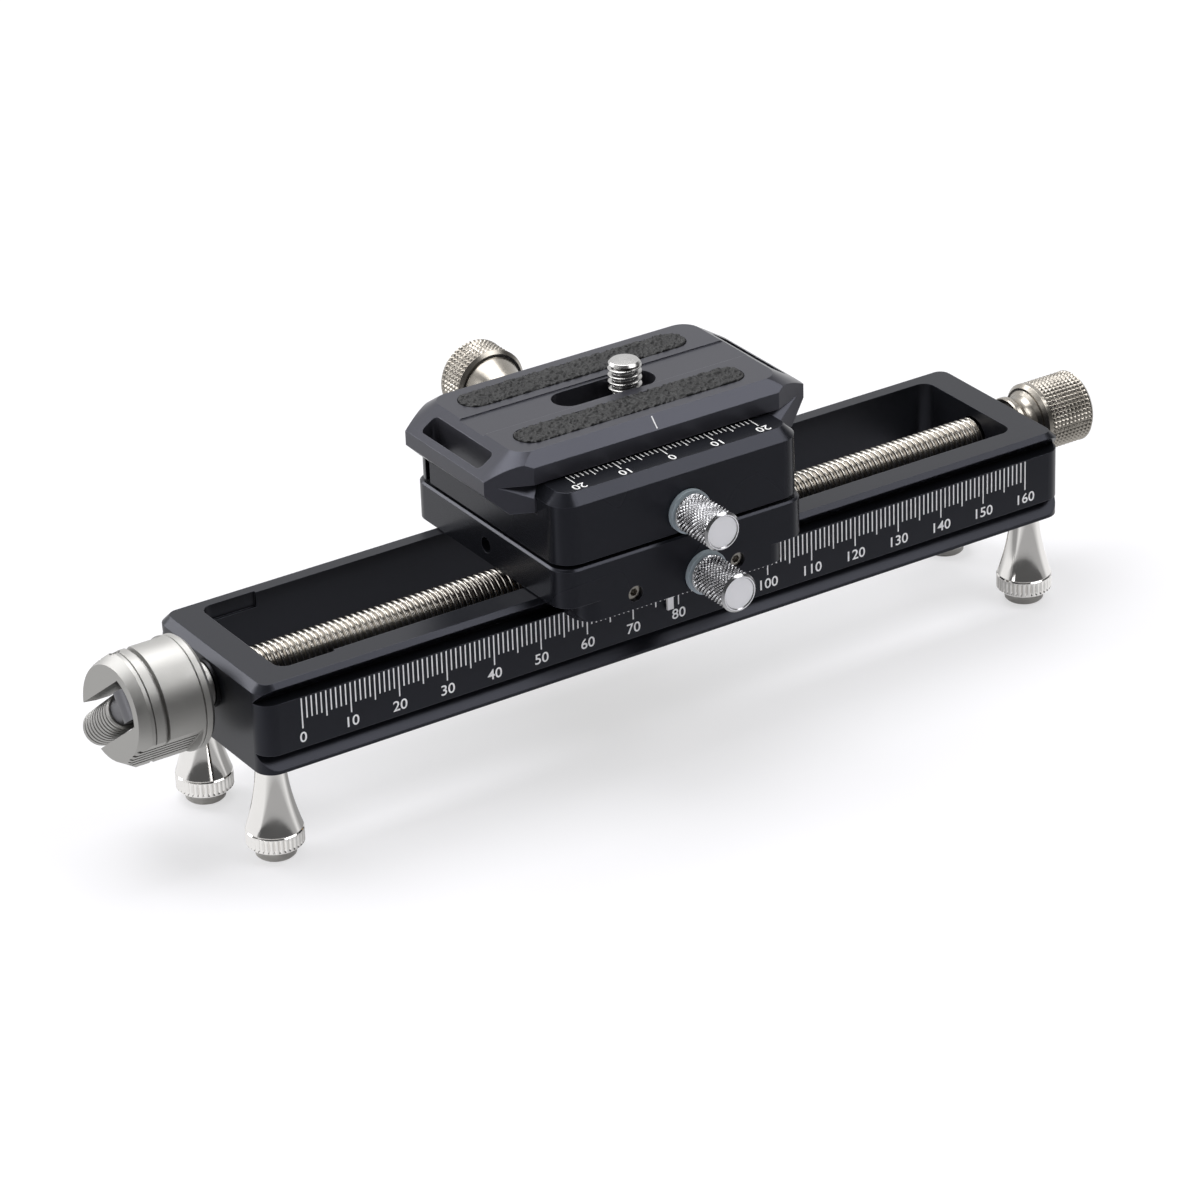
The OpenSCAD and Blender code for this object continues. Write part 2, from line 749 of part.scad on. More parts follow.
module nut_screws() {
    head_z = carriage_top - 0.2;
    color([0.3, 0.3, 0.32]) at_carriage()
    for (x = [-1, 1], y = [-1, 1]) translate([x * nut_bolt_x, y * nut_bolt_y, 0]) difference() {
        union() {
            translate([0, 0, head_z - bolt_head_t]) cylinder(h = bolt_head_t, r = bolt_head_r);
            translate([0, 0, carriage_z - 6]) cylinder(h = carriage_h + 5, r = bolt_r);
        }
        translate([0, 0, head_z - 1.2]) cylinder(h = 2, r = 1.4, $fn = 6);
    }
}

module gib_strip() {
    color([0.7, 0.55, 0.3]) at_carriage() x_prism(gib_l, [
        [-hook_y, hook_z], [-hook_top_y, edge_z], [-hook_top_y, gib_top],
        [-gib_y, gib_top], [-gib_y, hook_z]
    ]);
}

module gib_set_screws() {
    color([0.72, 0.6, 0.38]) at_carriage()
    for (side = [-1, 1]) translate([side * set_screw_x, 0, slide_lock_z]) difference() {
        y_rod(grub_recess - carriage_w / 2, -gib_y, grub_r);
        translate([0, grub_recess - carriage_w / 2 + 1.2, 0]) rotate([90, 0, 0])
            cylinder(h = 1.2 + over, r = 0.8, $fn = 6);
    }
}

module post_set_screw() {
    tip = carriage_x - post_r;
    color([0.3, 0.3, 0.32]) translate([0, 0, post_screw_z]) difference() {
        x_rod(tip - 2 * grub_l, tip, grub_r);
        translate([tip - 2 * grub_l - over, 0, 0]) rotate([0, 90, 0])
            cylinder(h = over + 1.2, r = 0.8, $fn = 6);
    }
}

// Lock knob with its screw, its collar and its plug, all along -Y from a front face
module lock_knob(face, stud_end) {
    start = face + lock_collar_t + 0.1;
    end = start + lock_l;
    rim = 0.4;
    y_turned([
        [0, -end + 0.25], [lock_r - 0.9, -end + 0.25], [lock_r - 0.7, -end], [lock_r - rim, -end],
        [lock_r, -end + rim], [lock_r, -start - rim], [lock_r - rim, -start],
        [lock_stud_r, -start], [lock_stud_r, -stud_end], [0, -stud_end]
    ]);
}

module lock_collar(face) {
    difference() {
        y_rod(-face - lock_collar_t, -face, lock_collar_r);
        y_rod(-face - lock_collar_t - over, -face + over, lock_stud_r + stud_gap);
    }
}

module slide_lock_knob() {
    color([0.8, 0.8, 0.8]) at_carriage() translate([slide_lock_x, 0, slide_lock_z])
        lock_knob(carriage_w / 2, gib_y + plug_l + 0.1);
}

module slide_lock_collar() {
    color([0.6, 0.66, 0.7]) at_carriage() translate([slide_lock_x, 0, slide_lock_z])
        lock_collar(carriage_w / 2);
}

module slide_lock_plug() {
    color([0.72, 0.6, 0.38]) at_carriage() translate([slide_lock_x, 0, slide_lock_z])
        y_rod(-gib_y - plug_l, -gib_y, lock_stud_r);
}

module scale_pointer() {
    t = 0.5;
    tab_y = half_w + dovetail_gap;
    skirt_z = carriage_z - skirt_h;
    color("white") at_carriage() translate([-pointer_w / 2, -tab_y - t - 0.1, 0]) {
        translate([0, 0, skirt_z - pointer_l]) cube([pointer_w, t, pointer_l]);
        translate([-1.4, -2.8, skirt_z - 0.4]) cube([pointer_w + 2.8, t + 2.8, 0.4]);
    }
}

module pan_washer() {
    color([0.85, 0.85, 0.8]) at_carriage() translate([0, 0, carriage_top])
        ring(pan_gap - 0.05, carriage_w / 2 - 4, post_r + 0.3);
}

module pan_post() {
    color([0.75, 0.75, 0.74]) at_carriage() difference() {
        translate([0, 0, carriage_top - post_depth])
            cylinder(h = cap_z - carriage_top + post_depth, r = post_r);
        translate([0, 0, cap_z - 7]) cylinder(h = 8, r = 2);
    }
}

module pan_cap() {
    color([0.75, 0.75, 0.74]) at_carriage() translate([0, 0, cap_z]) difference() {
        cylinder(h = cap_t, r = cap_r);
        translate([0, 0, -over]) cylinder(h = cap_t + 2 * over, r = 2.1);
        translate([0, 0, cap_t - 1]) cylinder(h = 1.01, r1 = 2.1, r2 = 3.6);
    }
}

module pan_screw() {
    color([0.3, 0.3, 0.32]) at_carriage() translate([0, 0, cap_z + cap_t - 0.05]) difference() {
        union() {
            translate([0, 0, -6]) cylinder(h = 6, r = 2);
            translate([0, 0, -1]) cylinder(h = 1, r1 = 2, r2 = 3.5);
        }
        translate([0, 0, -0.8]) cylinder(h = 2, r = 1.2, $fn = 6);
    }
}

// Clamp

module clamp_plan() {
    translate([0, 0, clamp_z]) chamfered_block(clamp_l, clamp_w, clamp_h, clamp_r, clamp_chamfer);
}

module clamp_body() {
    slope = lip_low_y - lip_top_y;
    front = clamp_w / 2 + over;
    color([0.15, 0.15, 0.17]) at_carriage() difference() {
        union() {
            intersection() {
                clamp_plan();
                x_prism(clamp_l + 2 * over, [
                    [-front, clamp_z], [fixed_y, clamp_z], [fixed_y, floor_z], [-ledge_back_y, floor_z],
                    [-ledge_back_y, ledge_z], [-lip_low_y, ledge_z], [-lip_low_y, clamp_top - slope],
                    [-lip_top_y, clamp_top], [-lip_top_y, clamp_top + over], [-front, clamp_top + over]
                ]);
            }
            translate([0, 0, clamp_z]) cylinder(h = cap_z - clamp_z - seat_gap, r = cap_r);
            translate([-jaw_screw_r - 4, boss_y, clamp_z])
                cube([2 * jaw_screw_r + 8, fixed_y - boss_y, ledge_z - clamp_z]);
        }
        translate([0, 0, clamp_z - over]) cylinder(h = clamp_h, r = post_r + run_gap);
        translate([0, 0, cap_z - seat_gap]) cylinder(h = clamp_h, r = cap_r + 0.2);
        translate([pan_lock_x, 0, pan_lock_z])
            y_rod(-clamp_w / 2 - over, -post_r + over, lock_stud_r + stud_gap);
        translate([0, 0, jaw_screw_z]) y_rod(post_r, fixed_y + over, jaw_screw_r + stud_gap);
        for (x = [-1, 1]) translate([x * guide_x, 0, guide_z]) {
            y_rod(fixed_y - spring_pocket_d - 6, fixed_y + over, guide_r);
            y_rod(fixed_y - spring_pocket_d, fixed_y + over, spring_pocket_r);
        }
    }
}

module pan_lock_knob() {
    color([0.8, 0.8, 0.8]) at_carriage() translate([pan_lock_x, 0, pan_lock_z])
        lock_knob(clamp_w / 2, plug_end + 0.1);
}

module pan_lock_collar() {
    color([0.6, 0.66, 0.7]) at_carriage() translate([pan_lock_x, 0, pan_lock_z])
        lock_collar(clamp_w / 2);
}

module pan_lock_plug() {
    color([0.72, 0.6, 0.38]) at_carriage() translate([pan_lock_x, 0, pan_lock_z])
        y_rod(-plug_end, -post_r - seat_gap, lock_stud_r);
}

module jaw_guide_pins() {
    color([0.75, 0.75, 0.75]) at_carriage()
    for (x = [-1, 1]) translate([x * guide_x, 0, guide_z])
        y_rod(fixed_y - spring_pocket_d - 5.8, jaw_y + jaw_t - 1.2, guide_r);
}

// A helical wire of square turns along Y, as one closed tube
module spring(y0, y1) {
    sides = 6;
    per_turn = 8;
    end_gap = spring_wire / 2;
    rings = spring_turns * per_turn;
    rise = (y1 - y0 - 2 * end_gap) / rings;
    function ring_point(i, k) =
        let (a = 360 * i / per_turn, b = 360 * k / sides, w = spring_wire / 2, r = spring_r + w * cos(b))
        [r * cos(a), y0 + end_gap + rise * i + w * sin(b), r * sin(a)];
    points = [for (i = [0 : rings], k = [0 : sides - 1]) ring_point(i, k)];
    gaps = [for (i = [0 : rings - per_turn], j = [i + per_turn - 2 : min(i + per_turn + 2, rings)],
                 k = [0 : sides - 1], n = [0 : sides - 1])
        norm(points[i * sides + k] - points[j * sides + n])];
    echo(least_spring_gap = min(gaps));
    walls = [for (i = [0 : rings - 1], k = [0 : sides - 1]) let (n = (k + 1) % sides) each [
        [i * sides + k, i * sides + n, (i + 1) * sides + k],
        [i * sides + n, (i + 1) * sides + n, (i + 1) * sides + k]
    ]];
    caps = [for (k = [1 : sides - 2]) each [
        [0, k + 1, k],
        [rings * sides, rings * sides + k, rings * sides + k + 1]
    ]];
    polyhedron(points = points, faces = concat(walls, caps));
}

module jaw_springs() {
    color([0.75, 0.75, 0.75]) at_carriage()
    for (x = [-1, 1]) translate([x * guide_x, 0, guide_z])
        spring(fixed_y - spring_pocket_d + 0.05, jaw_y - 0.05);
}

module clamp_jaw() {
    slope = lip_low_y - lip_top_y;
    back = clamp_w / 2 + over;
    nose_z = ledge_z + 0.25;
    color([0.15, 0.15, 0.17]) at_carriage() difference() {
        intersection() {
            clamp_plan();
            x_prism(clamp_l + 2 * over, [
                [jaw_y, clamp_z], [back, clamp_z], [back, clamp_top + over], [lip_top_y, clamp_top + over],
                [lip_top_y, clamp_top], [lip_low_y, clamp_top - slope], [lip_low_y, nose_z], [jaw_y, nose_z]
            ]);
        }
        translate([0, 0, jaw_screw_z]) y_rod(jaw_y - over, back, jaw_screw_r + 0.2);
        for (x = [-1, 1]) translate([x * guide_x, 0, guide_z])
            y_rod(jaw_y - over, jaw_y + jaw_t - 1, guide_r + run_gap);
    }
}

module jaw_screw() {
    start = boss_y + 0.5;
    end = clamp_w / 2 + jaw_neck_l;
    color([0.75, 0.75, 0.74]) at_carriage() translate([0, 0, jaw_screw_z]) y_rod(start, end, jaw_screw_r);
}

module jaw_washer() {
    color([0.7, 0.7, 0.7]) at_carriage() translate([0, 0, jaw_screw_z]) difference() {
        y_rod(clamp_w / 2, clamp_w / 2 + 0.6, 4.6);
        y_rod(clamp_w / 2 - over, clamp_w / 2 + 2, jaw_screw_r + 0.1);
    }
}

module jaw_knob() {
    s = clamp_w / 2 + 0.7;
    drum = s + jaw_neck_l;
    end = drum + jaw_drum_l;
    c = 0.7;
    color([0.7, 0.69, 0.66]) at_carriage() translate([0, 0, jaw_screw_z]) difference() {
        y_turned([
            [0, s], [4.2, s], [4.4, s + 0.3], [4.4, s + 2], [3.9, s + 2.6], [3.9, s + 7],
            [4.1, s + 8.6], [4.6, s + 10.2], [5.4, s + 11.8], [jaw_knob_r - 1.5, drum - 0.6],
            [jaw_knob_r - 1.3, drum], [jaw_knob_r - c, drum], [jaw_knob_r, drum + c],
            [jaw_knob_r, end - c], [jaw_knob_r - c, end], [0, end]
        ]);
        y_rod(s - over, clamp_w / 2 + jaw_neck_l + 0.2, jaw_screw_r);
    }
}

// Plate

module plate_blank() {
    half_len = plate_l / 2;
    half_wid = plate_w / 2;
    top_half = plate_top_l / 2;
    top_y = half_wid - plate_chamfer;
    end_top = plate_h - slope_drop;
    end_low = end_top - plate_end_h;
    facet_x = half_len - 8.2;
    facet_y = half_wid - 3.9;
    flange = plate_flange;
    neck = plate_flange + plate_groove;
    side = [
        [half_wid, 0], [half_wid, flange], [half_wid - plate_groove, neck],
        [half_wid, neck], [half_wid, plate_h - plate_chamfer], [top_y, plate_h]
    ];
    end = [
        [half_len - end_low, 0], [half_len, end_low], [half_len, end_top], [top_half, plate_h]
    ];
    plan = [[half_len, facet_y], [facet_x, half_wid], [-facet_x, half_wid], [-half_len, facet_y]];
    intersection() {
        x_prism(plate_l + over, concat(side, [for (i = [len(side) - 1 : -1 : 0]) [-side[i][0], side[i][1]]]));
        y_prism(plate_w + over, concat(end, [for (i = [len(end) - 1 : -1 : 0]) [-end[i][0], end[i][1]]]));
        translate([0, 0, -over]) linear_extrude(height = plate_h + 2 * over)
            polygon(concat(plan, [for (i = [len(plan) - 1 : -1 : 0]) [plan[i][0], -plan[i][1]]]));
    }
}

// What lies outside a cone that follows the end slope round the top's corners
module top_corner_cut() {
    spread = (plate_l - plate_top_l) / 2 / slope_drop;
    corner_x = plate_top_l / 2 - top_r;
    corner_y = plate_w / 2 - plate_chamfer - top_r;
    depth = slope_drop + plate_end_h;
    translate([corner_x, corner_y, plate_h - depth]) difference() {
        cube([plate_l, plate_w, depth + over]);
        cylinder(h = depth, r1 = top_r + spread * depth, r2 = top_r);
        translate([0, 0, depth - 0.01]) cylinder(h = 2 * over, r = top_r);
    }
}

module slot_outline(r, x0, x1, h) {
    for (x = [x0, x1]) translate([x, 0, 0]) cylinder(h = h, r = r);
    translate([x0, -r, 0]) cube([x1 - x0, 2 * r, h]);
}

module plate_body() {
    slot_left = slot_x - slot_l / 2 + slot_half_w;
    slot_right = slot_x + slot_l / 2 - wide_end_r;
    strap_x = plate_l / 2 - strap_edge - strap_t;
    color([0.17, 0.17, 0.19]) at_carriage() translate([0, 0, plate_z]) difference() {
        plate_blank();
        for (x = [0, 1], y = [0, 1]) mirror([x, 0, 0]) mirror([0, y, 0]) top_corner_cut();
        translate([-plate_l, -band_half, plate_h - band_depth]) cube([2 * plate_l, 2 * band_half, over]);
        translate([0, 0, -over]) slot_outline(slot_half_w, slot_left, slot_right, plate_h + 2 * over);
        translate([slot_right, 0, -over]) cylinder(h = plate_h + 2 * over, r = wide_end_r);
        translate([0, 0, -over]) slot_outline(head_pocket_r, slot_left, slot_right, head_pocket_h + over);
        for (side = [0, 1]) mirror([side, 0, 0])
            translate([strap_x + strap_t / 2, 0, -over]) linear_extrude(height = plate_h + 2 * over)
                rounded_rect(strap_t, strap_w, 1);
        for (y = [-1, 1]) translate([pad_x, y * pad_y, plate_h - pad_recess])
            slot_outline(pad_w / 2 + 0.1, -pad_l / 2 + pad_w / 2, pad_l / 2 - pad_w / 2, pad_recess + over);
    }
}

module grip_pads() {
    color([0.22, 0.22, 0.23]) at_carriage()
    for (y = [-1, 1]) translate([pad_x, y * pad_y, plate_top - pad_recess])
        slot_outline(pad_w / 2, -pad_l / 2 + pad_w / 2, pad_l / 2 - pad_w / 2, pad_recess + pad_proud);
}

module camera_screw() {
    top = plate_top + camera_out;
    head_top = plate_z + head_pocket_h - screw_washer_t - 0.2;
    c = 0.6;
    color([0.85, 0.85, 0.84]) at_carriage() translate([camera_x, 0, 0]) difference() {
        rotate_extrude() polygon(concat(
            [[0, head_top - head_t], [head_r - 0.3, head_top - head_t], [head_r, head_top - head_t + 0.3]],
            [[head_r, head_top], [camera_neck_r, head_top], [camera_neck_r, camera_low]],
            [[camera_r, camera_low], [camera_r, top - c], [camera_r - c, top], [0, top]]
        ));
        translate([0, 0, head_top - head_t - over]) cylinder(h = over + 1.8, r = 2.6, $fn = 6);
    }
}

module screw_washer() {
    color([0.75, 0.75, 0.75]) at_carriage()
    translate([camera_x, 0, plate_z + head_pocket_h - screw_washer_t - 0.1])
        ring(screw_washer_t, head_r, camera_neck_r + 0.08);
}

rail_frame();
screw_bushes();
foot_posts();
foot_pads();
lead_screw();
thrust_washers();
crank_knob();
fine_knob();
knob_set_screws();
crank_pin();
crank_hinge_block();
grip_screw();
crank_grip();
carriage_body();
drive_nut();
nut_screws();
gib_strip();
gib_set_screws();
slide_lock_knob();
slide_lock_collar();
slide_lock_plug();
scale_pointer();
pan_washer();
pan_post();
post_set_screw();
pan_cap();
pan_screw();
clamp_body();
pan_lock_knob();
pan_lock_collar();
pan_lock_plug();
jaw_guide_pins();
jaw_springs();
clamp_jaw();
jaw_screw();
jaw_washer();
jaw_knob();
plate_body();
grip_pads();
camera_screw();
screw_washer();
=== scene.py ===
import bmesh
import bpy
import math
import mathutils
import numpy as np
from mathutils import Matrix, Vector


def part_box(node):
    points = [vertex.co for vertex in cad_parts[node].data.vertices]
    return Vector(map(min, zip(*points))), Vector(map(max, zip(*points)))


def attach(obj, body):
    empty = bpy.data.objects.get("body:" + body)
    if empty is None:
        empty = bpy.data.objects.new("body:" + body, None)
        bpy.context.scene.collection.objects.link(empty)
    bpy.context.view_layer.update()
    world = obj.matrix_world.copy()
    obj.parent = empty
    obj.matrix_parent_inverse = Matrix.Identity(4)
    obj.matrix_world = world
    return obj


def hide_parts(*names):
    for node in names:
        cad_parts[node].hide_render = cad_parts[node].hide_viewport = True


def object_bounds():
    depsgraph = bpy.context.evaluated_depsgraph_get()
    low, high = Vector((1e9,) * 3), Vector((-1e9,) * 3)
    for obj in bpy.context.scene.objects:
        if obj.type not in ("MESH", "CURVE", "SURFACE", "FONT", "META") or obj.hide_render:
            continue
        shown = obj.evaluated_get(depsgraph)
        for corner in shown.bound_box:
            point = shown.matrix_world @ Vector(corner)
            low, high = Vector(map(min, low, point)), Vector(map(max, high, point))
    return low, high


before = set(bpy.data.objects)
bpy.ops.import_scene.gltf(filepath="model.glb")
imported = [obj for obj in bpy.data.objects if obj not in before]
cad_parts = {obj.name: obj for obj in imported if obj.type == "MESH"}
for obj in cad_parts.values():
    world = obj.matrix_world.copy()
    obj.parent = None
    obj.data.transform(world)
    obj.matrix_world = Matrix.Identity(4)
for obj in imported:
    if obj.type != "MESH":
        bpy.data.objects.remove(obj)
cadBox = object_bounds()
print("frame loaded:", len(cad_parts), "nodes")

mm = 0.001  # shapes are worked out in millimetres, Blender gets metres
mergeDistance = 0.002  # points closer than this are one point
shortestEdge = 0.001


# Small helpers for meshes

def boxOf(node):
    low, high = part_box(node)
    return np.array(low) / mm, np.array(high) / mm


def plainList(faces):
    return faces.tolist() if isinstance(faces, np.ndarray) else faces


def makeObject(name, points, faces, material, body, smoothAngle=35):
    mesh = bpy.data.meshes.new(name)
    mesh.from_pydata((np.asarray(points) * mm).tolist(), [], plainList(faces))
    mesh.materials.append(material)
    obj = bpy.data.objects.new(name, mesh)
    bpy.context.collection.objects.link(obj)
    mergeAndSmooth(mesh, smoothAngle)
    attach(obj, body)
    return obj


# Doubled points at poles become one, and only edges sharper than the angle stay sharp
def mergeAndSmooth(mesh, smoothAngle):
    work = bmesh.new()
    work.from_mesh(mesh)
    bmesh.ops.remove_doubles(work, verts=work.verts, dist=mergeDistance * mm)
    bmesh.ops.dissolve_degenerate(work, edges=work.edges, dist=shortestEdge * mm)
    work.to_mesh(mesh)
    work.free()
    mesh.shade_smooth()
    mesh.set_sharp_from_angle(angle=math.radians(smoothAngle))
    mesh.update()


# Faces of a grid of points with rows first; the columns close into a ring
def ringFaces(rows, cols):
    r, c = np.meshgrid(np.arange(rows - 1), np.arange(cols), indexing="ij")
    n = (c + 1) % cols
    quads = np.stack([r * cols + c, r * cols + n, (r + 1) * cols + n, (r + 1) * cols + c], axis=-1)
    return quads.reshape(-1, 4)


# Points around an axis: the origin, plus radius times (cosine of the angle along one side
# direction and sine along the other), plus the distance along the axis
def aroundAxis(origin, axis, radius, along, angle):
    a = np.array(axis, float)
    a /= np.linalg.norm(a)
    u = np.cross(a, [0, 0, 1.0]) if abs(a[2]) < 0.9 else np.array([1.0, 0, 0])
    u /= np.linalg.norm(u)
    v = np.cross(a, u)
    side = np.cos(angle)[..., None] * u + np.sin(angle)[..., None] * v
    return np.array(origin, float) + radius[..., None] * side + along[..., None] * a


# A profile of radius and place is cut into short steps wherever the knurl needs them
def densify(profile, knurlSpan, step):
    out = [profile[0]]
    for (r0, s0), (r1, s1) in zip(profile[:-1], profile[1:]):
        inside = (knurlSpan and min(s0, s1) >= knurlSpan[0] - 0.01
                  and max(s0, s1) <= knurlSpan[1] + 0.01)
        length = math.hypot(r1 - r0, s1 - s0)
        count = max(1, math.ceil(length / step)) if inside else 1
        out += [(r0 + (r1 - r0) * k / count, s0 + (s1 - s0) * k / count)
                for k in range(1, count + 1)]
    return np.array(out)


# Turned shape: the profile goes round the axis. Inside the knurl's span the radius drops
# by the depth times (1 - height). The height is a triangle wave of the turns times the
# number of teeth: of (turns plus distance along) and (turns minus distance along) for
# diamonds, of turns and distance by themselves for a square grid, the lower of the two
# each time, and of the turns alone for straight teeth.
def turned(name, profile, origin, axis, material, body, knurl, smoothAngle=35):
    first, last = knurl["span"]
    rows = densify(profile, knurl["span"], knurl["step"])
    cols = knurl["count"] * knurl["samples"]
    turns = np.arange(cols) / cols
    r = np.repeat(rows[:, :1], cols, axis=1)
    s = np.repeat(rows[:, 1:], cols, axis=1)
    along = (s - first) / (2 * math.pi * knurl["radius"])
    turn = np.broadcast_to(turns, s.shape)
    wave = lambda t: np.abs((t * knurl["count"]) % 1.0 - 0.5) * 2
    if knurl["pattern"] == "diamond":
        height = np.minimum(wave(turn + along), wave(turn - along))
    elif knurl["pattern"] == "grid":
        height = np.minimum(wave(turn), wave(along))
    else:
        height = wave(turn)
    height = np.clip(height * knurl["flat"], 0, 1)
    edge = np.clip(np.minimum(s - first, last - s) / knurl["fade"], 0, 1)
    inside = (s >= first - 0.001) & (s <= last + 0.001)
    r = r - inside * edge * knurl["depth"] * (1 - height)
    points = aroundAxis(origin, axis, r, s, 2 * math.pi * turns)
    return makeObject(name, points.reshape(-1, 3), ringFaces(len(rows), cols), material, body,
                      smoothAngle)


def knurlOf(p, radius, first, last):
    knurl = {key: p[key] for key in ("pattern", "count", "depth", "fade", "flat", "step")}
    return {**knurl, "samples": 6, "radius": radius, "span": (first, last)}


# Screw thread: each row is one turn angle and the columns run along the axis, so the
# surface is sheared by one pitch a turn. The radius is the root plus the depth times the
# profile's height there, which fades to nothing at both ends.
def threadPart(p, start, end, origin, axis):
    pitch, steps, segments = p["pitch"], len(p["profile"]), p["segments"]
    cols = (math.ceil((end - start) / pitch) + 2) * steps + 1
    i, j = np.meshgrid(np.arange(segments), np.arange(cols), indexing="ij")
    s = start - pitch + pitch * (j / steps + i / segments)
    fade = np.clip(np.minimum(s - start, end - s) / (p["fadeTurns"] * pitch), 0, 1)
    s = np.clip(s, start, end)
    r = p["radius"] - p["depth"] + p["depth"] * np.array(p["profile"])[j % steps] * fade
    points = aroundAxis(origin, axis, r, s, 2 * math.pi * i / segments)
    row, col = np.meshgrid(np.arange(segments), np.arange(cols - 1), indexing="ij")
    seam = row == segments - 1  # past the last angle the next turn begins
    shift = np.where(seam, steps, 0)
    nextRow = np.where(seam, 0, row + 1)
    here = row * cols + col
    there = nextRow * cols + col + shift
    quads = np.stack([here, here + 1, there + 1, there], axis=-1)
    return points.reshape(-1, 3), quads[col + 1 + shift < cols][:, ::-1]


# A plain turned part: the profile of radius and place goes round the axis
def lathePart(profile, origin, axis, segments):
    rows = np.array(profile, float)
    angle = 2 * math.pi * np.arange(segments) / segments
    points = aroundAxis(origin, axis, rows[:, :1], rows[:, 1:], angle)
    return points.reshape(-1, 3), ringFaces(len(rows), segments)


def joinParts(parts):
    points, faces, base = [], [], 0
    for p, f in parts:
        points.append(np.asarray(p))
        faces += [[k + base for k in face] for face in plainList(f)]
        base += len(p)
    return np.concatenate(points), faces


boxFaces = np.array([[0, 3, 2, 1], [4, 5, 6, 7], [0, 1, 5, 4], [1, 2, 6, 5], [2, 3, 7, 6], [3, 0, 4, 7]])


# Boxes from arrays of lowest and highest corners: each of the eight corners takes its
# three coordinates from one or the other
def boxParts(low, high):
    pick = np.array([[0, 0, 0], [1, 0, 0], [1, 1, 0], [0, 1, 0], [0, 0, 1], [1, 0, 1], [1, 1, 1], [0, 1, 1]])
    points = np.where(pick[None] == 1, high[:, None], low[:, None]).reshape(-1, 3)
    faces = (boxFaces[None] + 8 * np.arange(len(low))[:, None, None]).reshape(-1, 4)
    return points, faces


numerals = {"capShare": 0.73, "heavier": 0.012, "wider": 1.08, "thickness": 0.04, "curveSteps": 4}


# A number as a thin solid, centred on its own middle, lying in X and Y
def numberPart(p, text, height):
    curve = bpy.data.curves.new("number", "FONT")
    curve.body = text
    curve.size = height / p["capShare"]
    curve.align_x = "CENTER"
    curve.extrude = p["thickness"] / 2
    curve.offset = height * p["heavier"]
    curve.resolution_u = p["curveSteps"]
    obj = bpy.data.objects.new("number", curve)
    bpy.context.collection.objects.link(obj)
    mesh = bpy.data.meshes.new_from_object(obj)
    points = np.empty(len(mesh.vertices) * 3)
    mesh.vertices.foreach_get("co", points)
    faces = [list(polygon.vertices) for polygon in mesh.polygons]
    bpy.data.objects.remove(obj)
    bpy.data.curves.remove(curve)
    bpy.data.meshes.remove(mesh)
    points = points.reshape(-1, 3)
    points[:, 0] *= p["wider"]
    points[:, 1] -= height / 2
    return points, faces


# Small helpers for materials

def toLinear(hexColour):
    parts = [int(hexColour[k:k + 2], 16) / 255 for k in (1, 3, 5)]
    return tuple(p / 12.92 if p <= 0.04045 else ((p + 0.055) / 1.055) ** 2.4 for p in parts) + (1.0,)


# Links are named after the input without spaces, or i and its number
def addNode(tree, kind, settings=None, **links):
    node = tree.nodes.new("ShaderNode" + kind)
    for key, value in (settings or {}).items():
        if key in node.inputs:
            node.inputs[key].default_value = value
        else:
            setattr(node, key, value)
    for key, socket in links.items():
        names = {s.name.replace(" ", "").lower(): k for k, s in enumerate(node.inputs) if s.name}
        index = int(key[1:]) if key[0] == "i" and key[1:].isdigit() else names[key.lower()]
        tree.links.new(socket, node.inputs[index])
    return node


shaderInputs = {"metallic": "Metallic", "roughness": "Roughness", "ior": "IOR", "base": "Base Color",
                "specular": "Specular IOR Level", "tint": "Specular Tint"}


def newMaterial(name, **shader):
    material = bpy.data.materials.new(name)
    material.use_nodes = True
    tree = material.node_tree
    principled = tree.nodes["Principled BSDF"]
    for key, value in shader.items():
        colour = key in ("base", "tint")
        principled.inputs[shaderInputs[key]].default_value = toLinear(value) if colour else value
    coords = addNode(tree, "TexCoord").outputs["Object"]
    return material, tree, principled, coords


# Two tones mixed by a soft noise of a given size, which also moves the roughness a little
def tonePatches(tree, shader, coords, tones, patch, detail, smoother, rougher):
    noise = addNode(tree, "TexNoise", {"Scale": 1 / (patch * mm), "Detail": detail, "Roughness": 0.6},
                    vector=coords)
    mix = addNode(tree, "Mix", {"data_type": "RGBA"}, i0=noise.outputs["Fac"])
    mix.inputs[6].default_value = toLinear(tones[0])
    mix.inputs[7].default_value = toLinear(tones[1])
    gloss = addNode(tree, "MapRange", {"From Min": 0.3, "From Max": 0.7, "To Min": smoother, "To Max": rougher},
                    value=noise.outputs["Fac"])
    tree.links.new(gloss.outputs["Result"], shader.inputs["Roughness"])
    return mix.outputs[2]


